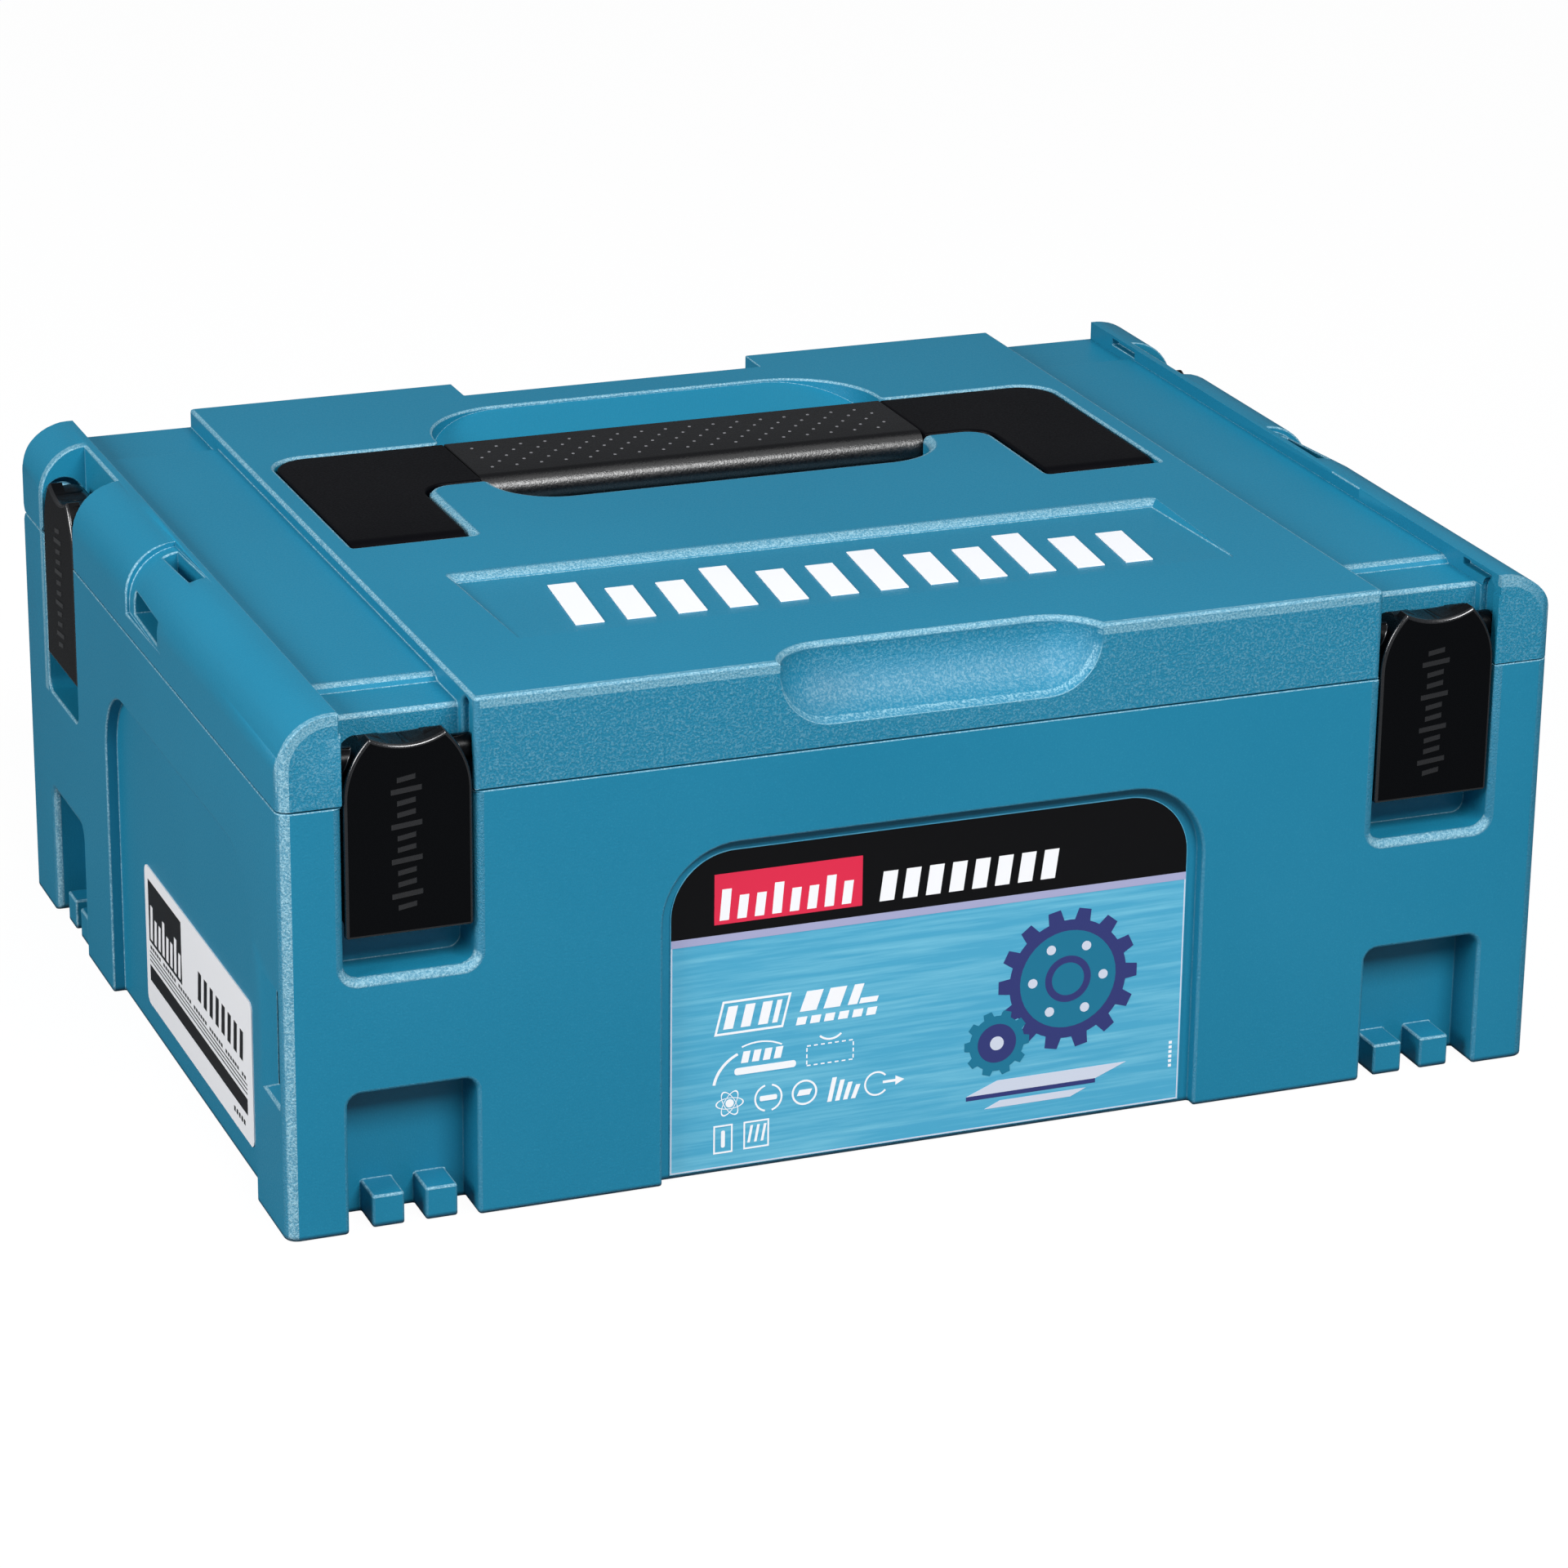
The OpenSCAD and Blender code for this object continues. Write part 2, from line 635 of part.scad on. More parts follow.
cheek_t = 2.4;
module latch(r_stud) {
    intersection() {
        difference() {
            translate([0, face_in, 0]) upright(latch_d + 4) latch_face(0);
            translate([0, face_in + latch_t, 0]) upright(over) difference() {
                latch_face(cheek_t);
                translate([-over, latch_top - 11]) square([2 * over, over]);
            }
            box(-latch_w, latch_w, face_in + latch_t, over, latch_low - 1, latch_low + 4);
        }
        translate([-latch_w, 0, 0]) rotate([90, 0, 90]) linear_extrude(2 * latch_w) latch_side_view();
    }
    // rib that hooks under the teeth
    box(-latch_w / 2 + cheek_t - eps, latch_w / 2 - cheek_t + eps, face_in + latch_t - eps,
        recess_in - catch_teeth_in + 1.5, catch_z - 4.4, catch_z - 0.4);
    for (s = [-1, 1]) translate([s * (recess_w / 2 + slot_in - 0.4 - 3.4), pivot_in, base_h + pivot_up])
        rotate([0, 90, 0]) cylinder(r = r_stud, h = 6.8, center = true);
}
module latch_front_right() color(black) translate([latch_x, -half_d, 0]) latch(stud_r);
module latch_front_left() color(black) translate([-latch_x, -half_d, 0]) latch(stud_r);
module latch_side_right() color(black) translate([half_w, side_latch_y, 0]) rotate(90) latch(side_stud_r);
module latch_side_left() color(black) translate([-half_w, side_latch_y, 0]) rotate(-90) latch(side_stud_r);

// ---------- case: labels and badge ----------
label_edge = 3.4;                     // distance between label and recess wall
module front_label() color(label_blue) translate([0, -half_d + panel_in, 0]) rotate([90, 0, 0])
    linear_extrude(label_t) label_plan(front_panel_w - 2 * label_edge, 1.5,
        panel_top - label_edge, panel_r - label_edge);
module label_plan(w, low, high, r) {
    translate([-w / 2, low]) square([w, high - low - r]);
    translate([-w / 2 + r, low]) square([w - 2 * r, high - low]);
    for (s = [-1, 1]) translate([s * (w / 2 - r), high - r]) circle(r);
}
side_label_l = 119;
side_label_h = 46;
side_label_y = side_panel_y - 7.5;
module side_label() color(white) translate([-half_w + panel_in, side_label_y, 9 + side_label_h / 2])
    rotate([90, 0, -90]) linear_extrude(label_t) rounded_rect(side_label_l, side_label_h, 3);

badge_l = 190;
badge_bars = 12;
badge_front = 6;                      // distance between the field's front edge and the bars
module lid_badge() color(white) {
    slope = (field_drop - 0.25) / field_l;
    step = badge_l / badge_bars;
    translate([0, -half_d + field_in + badge_front, case_h - 0.25 - slope * badge_front])
        rotate([-atan(slope), 0, 0]) for (i = [0 : badge_bars - 1])
            translate([step * (i + 0.5) - badge_l / 2, 0, 0]) linear_extrude(badge_t) {
                long = i % 3 == 0 ? 40 : 31;
                polygon([[-step * 0.42, 0], [step * 0.14, 0], [step * 0.14 + long / 8, long],
                    [-step * 0.42 + long / 8, long]]);
            }
}

// ---------- insert tray ----------
tray_z0 = wall + 0.3;
tray_x = half_w - recess_in - wall - tray_gap;
tray_y0 = -half_d + panel_in + wall + tray_gap;
tray_y1 = half_d - wall - hinge_in - tray_gap;
corner_cut_x = latch_x - recess_w / 2 - wall - tray_gap;
corner_cut_y = -half_d + recess_in + wall + tray_gap;
heel_x = -184;                        // rear of the jigsaw's housing, from its origin
terminal_l = 9;                       // depth of the battery terminal behind it
// the jigsaw's own origin: the terminal lies tray_gap off the left pocket's wall, and the whole lies midway
// between the tray's front and rear walls
jig_off = [tray_t - corner_cut_x + tray_gap + terminal_l - heel_x,
           (tray_y0 + tray_y1 + jig_h - blade_reach) / 2, 50];
module tray_plan(g) {
    difference() {
        translate([-tray_x + g, tray_y0 + g]) square([2 * (tray_x - g), tray_y1 - tray_y0 - 2 * g]);
        for (s = [-1, 1]) translate([s * (corner_cut_x - g + over), corner_cut_y + g - over])
            square(2 * over, center = true);
    }
}
// pockets: x0, x1, y0, y1, floor height
jig_half = jig_w / 2;
jig_pockets = [
    [tray_t - corner_cut_x, jig_off[0] + 38, tray_y0 + tray_t, jig_off[1] - 30, jig_off[2] - jig_half - 10],
    [jig_off[0] - 108, jig_off[0] + 60, jig_off[1] - 52, tray_y1 - tray_t, jig_off[2] - sole_w / 2 - 2.5]];
spare_pockets = [
    [-tray_x + 8, -tray_x + 32, tray_y0 + 30, tray_y1 - 8, 20],
    [tray_x - 52, tray_x - 8, tray_y0 + 30, -10, 12],
    [tray_x - 52, tray_x - 8, 0, tray_y1 - 8, 24],
    [-tray_x + 40, jig_off[0] - 116, jig_off[1] - 20, tray_y1 - 8, 16]];
module tray_pockets(g) {
    for (p = concat(jig_pockets, spare_pockets))
        box(p[0] - g, p[1] + g, p[2] - g, p[3] + g, p[4] - g, tray_top + (g > 0 ? 0 : 1));
}
module insert_tray() color(tray_grey) difference() {
    union() {
        difference() {
            translate([0, 0, tray_z0]) linear_extrude(tray_top - tray_z0) tray_plan(0);
            translate([0, 0, -1]) linear_extrude(tray_top - tray_t + 1) tray_plan(tray_t);
        }
        tray_pockets(tray_t);
    }
    difference() {
        tray_pockets(0);
        // bars that carry the jigsaw's housing
        for (x = [-150, -66, -4])
            box(jig_off[0] + x, jig_off[0] + x + 10, tray_y0, jig_off[1] - 54, 0, jig_off[2] - jig_half - 0.3);
    }
}

// ---------- jigsaw, in its own frame: x forward, z up, the blade runs down through the origin ----------
module jig() translate(jig_off) rotate([90, 0, 0]) children();
module along_x(x0, x1) { translate([x0, 0, 0]) rotate([90, 0, 90]) linear_extrude(x1 - x0) children(); }
module along_y(y0, y1) { translate([0, y1, 0]) rotate([90, 0, 0]) linear_extrude(y1 - y0) children(); }
module rod_x(x0, x1, z, r) { translate([x0, 0, z]) rotate([0, 90, 0]) cylinder(r = r, h = x1 - x0); }
module rod_y(x, y0, y1, z, r) { translate([x, y0, z]) rotate([-90, 0, 0]) cylinder(r = r, h = y1 - y0); }

nose_x = 30;                          // front of the housing
nose_z = 36;                          // lower end of the nose
belly_z = 50;                         // underside of the motor housing
hole_x = [-146, -38];                 // rear and front of the handle's opening
hole_z = [112, 170];                  // its lower and upper edge
// convex outline around circles [x, z, r], given anticlockwise and drawn g smaller all round
function edge_n(a, b) =
    let (u = [b[0] - a[0], b[1] - a[1]], d = norm(u), s = (a[2] - b[2]) / d, c = sqrt(1 - s * s))
    [(s * u[0] + c * u[1]) / d, (s * u[1] - c * u[0]) / d];
function tangents(p, g) = [for (i = [0 : len(p) - 1], k = [0, 1])
    let (a = p[i], n = k == 0 ? edge_n(p[(i + len(p) - 1) % len(p)], a) : edge_n(a, p[(i + 1) % len(p)]))
    [a[0] + (a[2] - g) * n[0], a[1] + (a[2] - g) * n[1]]];
module round_outline(p, g) {
    polygon(tangents(p, g));
    for (a = p) translate([a[0], a[1]]) circle(a[2] - g);
}
body_round = [[-46, belly_z + 16, 16], [nose_x - 16, 80, 16], [nose_x - 20, jig_h - 34, 20],
    [-100, jig_h - 46, 46], [heel_x + 30, 142, 30], [heel_x + 26, 96, 26], [-138, belly_z + 24, 24]];
nose_round = [[hole_x[1] + 9, nose_z + 8, 8], [nose_x - 12, nose_z + 8, 8], [nose_x - 16, 120, 16],
    [hole_x[1] + 16, 120, 16]];
// side view of the housing, g smaller all round
module jig_outline(g) {
    difference() {
        union() {
            round_outline(body_round, g);
            round_outline(nose_round, g);
        }
        translate([(hole_x[0] + hole_x[1]) / 2, (hole_z[0] + hole_z[1]) / 2])
            rounded_rect(hole_x[1] - hole_x[0] + 2 * g, hole_z[1] - hole_z[0] + 2 * g, 16 + g);
    }
}
handle_half = 21;                     // half the width of the jigsaw's handle
zone_z = 120;                         // above this and behind the front column the housing is narrow
// housing without its hollow, g smaller all round
module jig_solid(g) {
    along_y(-jig_half + g, jig_half - g) difference() {
        jig_outline(g);
        translate([-300, zone_z - g]) square([300 + hole_x[1] - 1.5 + g, 200]);
    }
    along_y(-handle_half + g, handle_half - g) jig_outline(g);
}
motor_z = 81;
gear_z = motor_z + gear_module * (pinion_teeth + gear_teeth) / 2 + 0.1;
half_gap = 0.15;                      // half of the split between the housing halves
screw_at = [[20, 60, jig_half], [18, 150, jig_half], [-148, 60.5, jig_half],
    [heel_x + 18, 146, handle_half], [-24, 184, jig_half]];
screw_r = 1.8;
boss_r = 4.6;
rear_bearing_x = -135;
bearing_l = 6;
rear_bearing_r = 8;
front_bearing_r = 9;
shaft_r = 3;
module jig_half_shell(s) {
    difference() {
        union() {
            difference() {
                jig_solid(0);
                jig_solid(jig_wall);
            }
            for (p = screw_at) rod_y(p[0], -p[2] + 1, p[2] - 1, p[1], boss_r);
            // wall that holds the rear bearing
            box(rear_bearing_x - 2, rear_bearing_x + bearing_l, -jig_half + 1, jig_half - 1,
                belly_z + 1, hole_z[0] - 1);
            // pin of the trigger
            rod_y(trigger_pivot[0], -handle_half + 1, handle_half - 1, trigger_pivot[1], 2);
            // rib and axle of the speed dial
            box(dial_x[1] + 0.6, dial_x[1] + 2.6, -jig_half + 1, -8, 84, 92);
            translate([0, dial_y, 0]) rod_x(dial_x[0], dial_x[1] + 1, 88, 2 - fit);
        }
        translate([0, s > 0 ? -300 + half_gap : 300 - half_gap, 0]) cube(600, center = true);
        for (p = screw_at) {
            rod_y(p[0], -p[2] - 1, 0, p[1], screw_r + fit);
            rod_y(p[0], -1, 15, p[1], screw_r);
            rod_y(p[0], -p[2] - 1, -p[2] + 2.6, p[1], 3.4 + fit);
        }
        rod_x(rear_bearing_x, rear_bearing_x + bearing_l + 1, motor_z, rear_bearing_r + fit / 2);
        rod_x(rear_bearing_x - 3, rear_bearing_x, motor_z, shaft_r + 1);
        translate([0, 0, nose_z - 1]) cylinder(r = 14, h = jig_wall + 6);
        box(-28, 0, -7, 7, nose_z - 1, nose_z + jig_wall + 4);
        // trigger opening, button hole, dial slot, lever seat and vents
        box(-80, -42, -9.6, 9.6, hole_z[1] - 15, hole_z[1] + jig_wall + 1);
        rod_y(-52, -jig_half - 1, 0, button_z, 6.1);
        rod_y(-52, -1, jig_half + 1, button_z, 5.1);
        rod_y(lever_at[0], -jig_half - 1, -jig_half + jig_wall + 1, lever_at[1], 3 + fit);
        box(heel_x + 15, heel_x + 23, -jig_half - 1, -jig_half + jig_wall + 1, 77, 99);
        for (i = [0 : 4]) for (m = [-1, 1])
            box(-158 + i, -144 + i, m * jig_half - 4, m * jig_half + 4, 66 + 8 * i, 69.5 + 8 * i);
        for (i = [0 : 1]) for (m = [-1, 1])
            box(2, 18, m * jig_half - 4, m * jig_half + 4, 64 + 8 * i, 67.5 + 8 * i);
    }
}
module jig_housing_left() color(teal) jig() jig_half_shell(-1);
module jig_housing_right() color(teal) jig() jig_half_shell(1);

cover_t = 1.6;
module jig_soft_cover() color(navy) jig() difference() {
    along_y(-handle_half + 2, handle_half - 2) intersection() {
        difference() {
            jig_outline(-cover_t);
            jig_outline(-0.05);
        }
        translate([heel_x + 8, 106]) square([nose_x - heel_x, jig_h]);
        polygon([[heel_x, hole_z[1] + 12], [-20, hole_z[1] + 12], [-20, 100], [60, 100], [60, 230], [heel_x, 230]]);
    }
}

plate_x = -34.6;                      // rear face of the gear frame
gear_x0 = -29;
gear_x1 = -23;
bush_r = 8;
bush_low = [56, 65];
bush_high = [gear_z + gear_module * gear_teeth / 2 + 2.4, gear_z + gear_module * gear_teeth / 2 + 11.4];
frame_y = jig_half - jig_wall - 0.3;
gear_pin_r = 5;
module jig_gear_frame() color(alloy) jig() difference() {
    union() {
        box(plate_x, plate_x + 4, -frame_y, frame_y, bush_low[0], bush_high[1]);
        rod_x(-45, plate_x + 1, motor_z, front_bearing_r + 3);
        rod_x(plate_x, gear_x1 + 1, gear_z, gear_pin_r);
        for (b = [bush_low, bush_high]) {
            box(plate_x + 1, 0, -bush_r - 3, bush_r + 3, b[0], b[1]);
            translate([0, 0, b[0]]) cylinder(r = bush_r + 3, h = b[1] - b[0]);
        }
    }
    rod_x(-46, -45 + bearing_l + 2, motor_z, front_bearing_r + fit / 2);
    rod_x(-46, 0, motor_z, gear_module * (pinion_teeth + 2) / 2 + 0.6);
    translate([0, 0, 40]) cylinder(r = bush_r + fit / 2, h = 140);
}

// straight-sided gear; teeth are slim enough to leave backlash
module gear_plan(teeth, m) {
    rp = teeth * m / 2;
    pitch = 360 / teeth;
    circle(rp - 1.15 * m, $fn = 4 * teeth);
    for (i = [0 : teeth - 1]) rotate(i * pitch) polygon([
        [rp - 1.3 * m, -0.85 * m], [rp, -0.66 * m], [rp + 0.75 * m, -0.3 * m],
        [rp + 0.75 * m, 0.3 * m], [rp, 0.66 * m], [rp - 1.3 * m, 0.85 * m]]);
}
crank_pin_r = 3;
yoke_x = -21;                         // rear face of the plunger's yoke
module jig_crank_gear() color(steel) jig() {
    difference() {
        translate([0, 0, gear_z]) along_x(gear_x0, gear_x1) rotate(90 + 180 / gear_teeth)
            gear_plan(gear_teeth, gear_module);
        rod_x(-40, 0, gear_z, gear_pin_r + fit);
    }
    // the pin ends just short of the yoke
    translate([0, stroke / 2, 0]) rod_x(gear_x1 - eps, yoke_x - 0.3, gear_z, crank_pin_r);
}
yoke_h = 15;
rod_low = 47;                         // lower end of the plunger rod
module jig_plunger() color(steel) jig() difference() {
    union() {
        translate([0, 0, rod_low]) cylinder(r = rod_r, h = bush_high[1] + stroke / 2 + 2 - rod_low);
        box(yoke_x, -rod_r + 2, -20, 20, gear_z - yoke_h / 2, gear_z + yoke_h / 2);
    }
    box(yoke_x - 1, yoke_x + 6, -stroke / 2 - crank_pin_r - 0.3, stroke / 2 + crank_pin_r + 0.3,
        gear_z - crank_pin_r - 0.3, gear_z + crank_pin_r + 0.3);
}
module jig_bushes() color([0.75, 0.6, 0.3]) jig() for (b = [bush_low, bush_high])
    translate([0, 0, b[0]]) difference() {
        cylinder(r = bush_r, h = b[1] - b[0]);
        translate([0, 0, -1]) cylinder(r = rod_r + fit, h = 20);
    }
clamp_z = [31, 45];
blade_t = 1.4;
blade_w = 8;
module jig_blade_clamp() color([0.25, 0.25, 0.27]) jig() difference() {
    union() {
        translate([0, 0, clamp_z[0]]) cylinder(r = 8.6, h = clamp_z[1] - clamp_z[0]);
        translate([0, 0, clamp_z[1] - eps]) cylinder(r = rod_r, h = rod_low - clamp_z[1] + eps);
        box(-2, 13, -3, 3, clamp_z[0] + 4, clamp_z[0] + 9);
    }
    box(-blade_w / 2, blade_w / 2, -blade_t / 2, blade_t / 2, clamp_z[0] - 1, clamp_z[1] - 2);
}
tooth_pitch = 3;
module jig_blade() color(steel) jig() along_y(-blade_t / 2, blade_t / 2) {
    translate([-blade_w / 2, -blade_reach + 3]) square([blade_w - 2, blade_reach + clamp_z[1] - 5]);
    translate([-blade_w / 2, 16]) square([blade_w, clamp_z[1] - 18]);
    polygon([[-blade_w / 2, -blade_reach + 3.01], [-blade_w / 2 + 3, -blade_reach],
        [blade_w / 2 - 2, -blade_reach + 3.01]]);
    for (i = [0 : floor((blade_reach + 10) / tooth_pitch)])
        translate([blade_w / 2 - 2.01, -blade_reach + 3.5 + i * tooth_pitch])
            polygon([[0, 0], [2, 0.4], [0, tooth_pitch]]);
}
roller_x = -8.3;
roller_z = 14;
roller_r = 5;
module jig_guide_roller() color(steel) jig() difference() {
    rod_y(roller_x, -3, 3, roller_z, roller_r);
    rod_y(roller_x, -4, 4, roller_z, 2 + fit);
    // groove that the blade's back runs in
    translate([roller_x, 0, roller_z]) rotate([90, 0, 0]) rotate_extrude()
        translate([roller_r - 1, -blade_t / 2 - 0.1]) square([2, blade_t + 0.2]);
}
module jig_roller_bracket() color(alloy) jig() {
    for (s = [-1, 1]) along_y(s > 0 ? 3.3 : -6, s > 0 ? 6 : -3.3) {
        translate([roller_x, roller_z]) circle(3.6);
        polygon([[roller_x - 3.5, roller_z], [roller_x + 3.5, roller_z], [-11, 20], [-15, bush_low[0] - 6],
            [-26, bush_low[0] - 6]]);
    }
    rod_y(roller_x, -3.4, 3.4, roller_z, 2);
    box(-30, -15, -6, 6, bush_low[0] - 6.01, bush_low[0]);
}
sole_x1 = 52;
sole_x0 = sole_x1 - sole_l;
slot_half = 7;                        // half the width of the sole's slot
module jig_sole_plate() color(alloy) jig() difference() {
    union() {
        linear_extrude(sole_t) difference() {
            translate([(sole_x0 + sole_x1) / 2, 0]) rounded_rect(sole_l, sole_w, 5);
            translate([-14, -slot_half]) square([over + 40, 2 * slot_half]);
            for (s = [-1, 1]) translate([-60, s * 26]) rounded_rect(50, 5, 2.4);
        }
        for (s = [-1, 1]) translate([sole_x0 + 8, s * (sole_w / 2 - 1.2), sole_t / 2 + 2])
            translate([0, -1.2, 0]) cube([sole_l - 22, 2.4, 4]);
    }
}
cradle_r = 33;                        // the cradle slides in the mount along this radius
cradle_x = [-90, -48];
module jig_sole_cradle() color(alloy) jig() along_x(cradle_x[0], cradle_x[1]) {
    intersection() {
        difference() {
            circle(cradle_r);
            circle(cradle_r - 5);
        }
        polygon([[0, 0], [-40, 51], [40, 51]]);
    }
    for (s = [-1, 1]) translate([s * 18.4, (sole_t + 24) / 2 + eps]) square([3, 24 - sole_t], center = true);
}
module jig_bevel_mount() color(navy) jig() difference() {
    box(cradle_x[0], cradle_x[1], -20, 20, 24, belly_z);
    rod_x(cradle_x[0] - 1, cradle_x[1] + 1, 0, cradle_r + 0.3);
}
stator_x = [-115, -70];
stator_r = jig_half - jig_wall - 0.4;
module jig_stator() color(copper) jig() difference() {
    rod_x(stator_x[0], stator_x[1], motor_z, min(stator_r, motor_z - belly_z - jig_wall - 0.3));
    rod_x(stator_x[0] - 1, stator_x[1] + 1, motor_z, 14);
}
module jig_rotor() color(steel) jig() {
    rod_x(rear_bearing_x - 1, gear_x1, motor_z, shaft_r);
    rod_x(stator_x[0] + 3, stator_x[1] - 3, motor_z, 13.2);
    translate([0, 0, motor_z]) along_x(gear_x0, gear_x1) rotate(90) gear_plan(pinion_teeth, gear_module);
}
module jig_fan() color(black) jig() difference() {
    union() {
        rod_x(-64, -62, motor_z, 22);
        rod_x(-64, -54, motor_z, 6);
        for (a = [0 : 30 : 330]) translate([0, 0, motor_z]) rotate([a, 0, 0]) box(-62.01, -55, -0.8, 0.8, 5, 22);
    }
    rod_x(-70, -50, motor_z, shaft_r);
}
module ring_x(x0, x1, r, ri) { difference() { rod_x(x0, x1, motor_z, r); rod_x(x0 - 1, x1 + 1, motor_z, ri); } }
module jig_bearings() color(steel) jig() {
    ring_x(rear_bearing_x, rear_bearing_x + bearing_l, rear_bearing_r, shaft_r + fit);
    ring_x(-45 + 2, -45 + 2 + bearing_l, front_bearing_r, shaft_r + fit);
}
trigger_pivot = [-46, 176];
module jig_trigger() color(black) jig() difference() {
    along_y(-9, 9) difference() {
        translate([-61, 168]) rounded_rect(34, 22, 5);
        translate([trigger_pivot[0], trigger_pivot[1]]) circle(2 + fit);
    }
    box(-90, -30, -6, 6, 170, 190);
}
button_z = 187;
module jig_lock_button() color(black) jig() {
    rod_y(-52, -handle_half - 3, handle_half + 0.5, button_z, 5);
    rod_y(-52, -handle_half - 3.6, -handle_half + 2, button_z, 6);
}
dial_y = -jig_half + 8.5;
dial_x = [heel_x + 16, heel_x + 22];
module jig_speed_dial() color(black) jig() translate([0, dial_y, 0]) difference() {
    rod_x(dial_x[0], dial_x[1], 88, 10.4);
    for (a = [0 : 20 : 340]) translate([0, 0, 88]) rotate([a, 0, 0])
        box(dial_x[0] - 1, dial_x[1] + 1, -0.8, 0.8, 9.8, 12);
    rod_x(dial_x[0] - 1, dial_x[1] + 1, 88, 2);
}
lever_at = [-24, 48];
module jig_orbital_lever() color(black) jig() translate([lever_at[0], -jig_half - 0.3, lever_at[1]])
    rotate([90, 0, 0]) {
        cylinder(r = 7, h = 3);
        linear_extrude(3) polygon([[-5, -4], [-5, 4], [-22, 2.5], [-22, -2.5]]);
        translate([0, 0, 2.9]) cylinder(r = 2.6, h = 1);
        translate([0, 0, -2.8]) cylinder(r = 3, h = 3);
    }
module jig_battery_terminal() color(black) jig() difference() {
    box(heel_x - terminal_l, heel_x, -20, 20, 78, 158);
    for (s = [-1, 1]) box(heel_x - terminal_l + 3, heel_x - 2.5, s > 0 ? 15 : -21, s > 0 ? 21 : -15, 70, 152);
    for (y = [-9, 9]) box(heel_x - terminal_l - 1, heel_x - 3, y - 1.5, y + 1.5, 90, 130);
}
module jig_screws() color(steel) jig() for (p = screw_at) {
    rod_y(p[0], -p[2] + 0.4, -p[2] + 2.5, p[1], 3.4);
    rod_y(p[0], -p[2] + 2.4, 14.8, p[1], screw_r);
}
guard_r = 1.2;
guard_z = 11;
module jig_blade_guard() color(steel) jig() for (s = [-1, 1]) {
    translate([20, s * 5, guard_z]) cylinder(r = guard_r, h = nose_z - guard_z);
    if (s > 0) rod_y(20, -5, 5, guard_z, guard_r);
}

base_shell();
lid_shell();
hinge_pins();
handle_frame();
handle_grip();
handle_pins();
latch_front_left();
latch_front_right();
latch_side_left();
latch_side_right();
front_label();
side_label();
lid_badge();
insert_tray();
jig_housing_left();
jig_housing_right();
jig_soft_cover();
jig_gear_frame();
jig_crank_gear();
jig_plunger();
jig_bushes();
jig_blade_clamp();
jig_blade();
jig_guide_roller();
jig_roller_bracket();
jig_sole_plate();
jig_sole_cradle();
jig_bevel_mount();
jig_stator();
jig_rotor();
jig_fan();
jig_bearings();
jig_trigger();
jig_lock_button();
jig_speed_dial();
jig_orbital_lever();
jig_battery_terminal();
jig_screws();
jig_blade_guard();
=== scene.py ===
import bpy, bmesh, json, math
from mathutils import Vector, Matrix
from mathutils.bvhtree import BVHTree
from mathutils.geometry import intersect_line_line_2d


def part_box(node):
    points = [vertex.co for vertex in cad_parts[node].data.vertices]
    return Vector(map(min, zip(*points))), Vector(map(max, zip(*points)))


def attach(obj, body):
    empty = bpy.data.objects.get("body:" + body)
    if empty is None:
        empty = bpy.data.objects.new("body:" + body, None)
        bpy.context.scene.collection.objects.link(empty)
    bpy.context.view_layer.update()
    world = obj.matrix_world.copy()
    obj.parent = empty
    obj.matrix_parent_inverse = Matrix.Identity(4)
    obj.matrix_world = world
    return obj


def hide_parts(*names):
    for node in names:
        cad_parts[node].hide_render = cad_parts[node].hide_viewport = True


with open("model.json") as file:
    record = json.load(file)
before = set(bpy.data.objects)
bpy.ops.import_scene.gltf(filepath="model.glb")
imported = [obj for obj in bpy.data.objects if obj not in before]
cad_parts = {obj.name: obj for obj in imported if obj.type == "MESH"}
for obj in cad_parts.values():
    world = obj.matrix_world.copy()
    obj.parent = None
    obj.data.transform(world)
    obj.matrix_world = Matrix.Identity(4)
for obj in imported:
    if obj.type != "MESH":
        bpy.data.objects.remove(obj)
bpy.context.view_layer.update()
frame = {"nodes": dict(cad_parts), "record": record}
MM = 0.001


# ---------- materials ----------
def linear(c):
    """one sRGB channel, 0-255, to linear"""
    return c / 255 / 12.92 if c <= 10 else ((c / 255 + 0.055) / 1.055) ** 2.4


def rgb(r, g, b):
    """an sRGB colour, 0-255, to linear"""
    return (linear(r), linear(g), linear(b), 1.0)


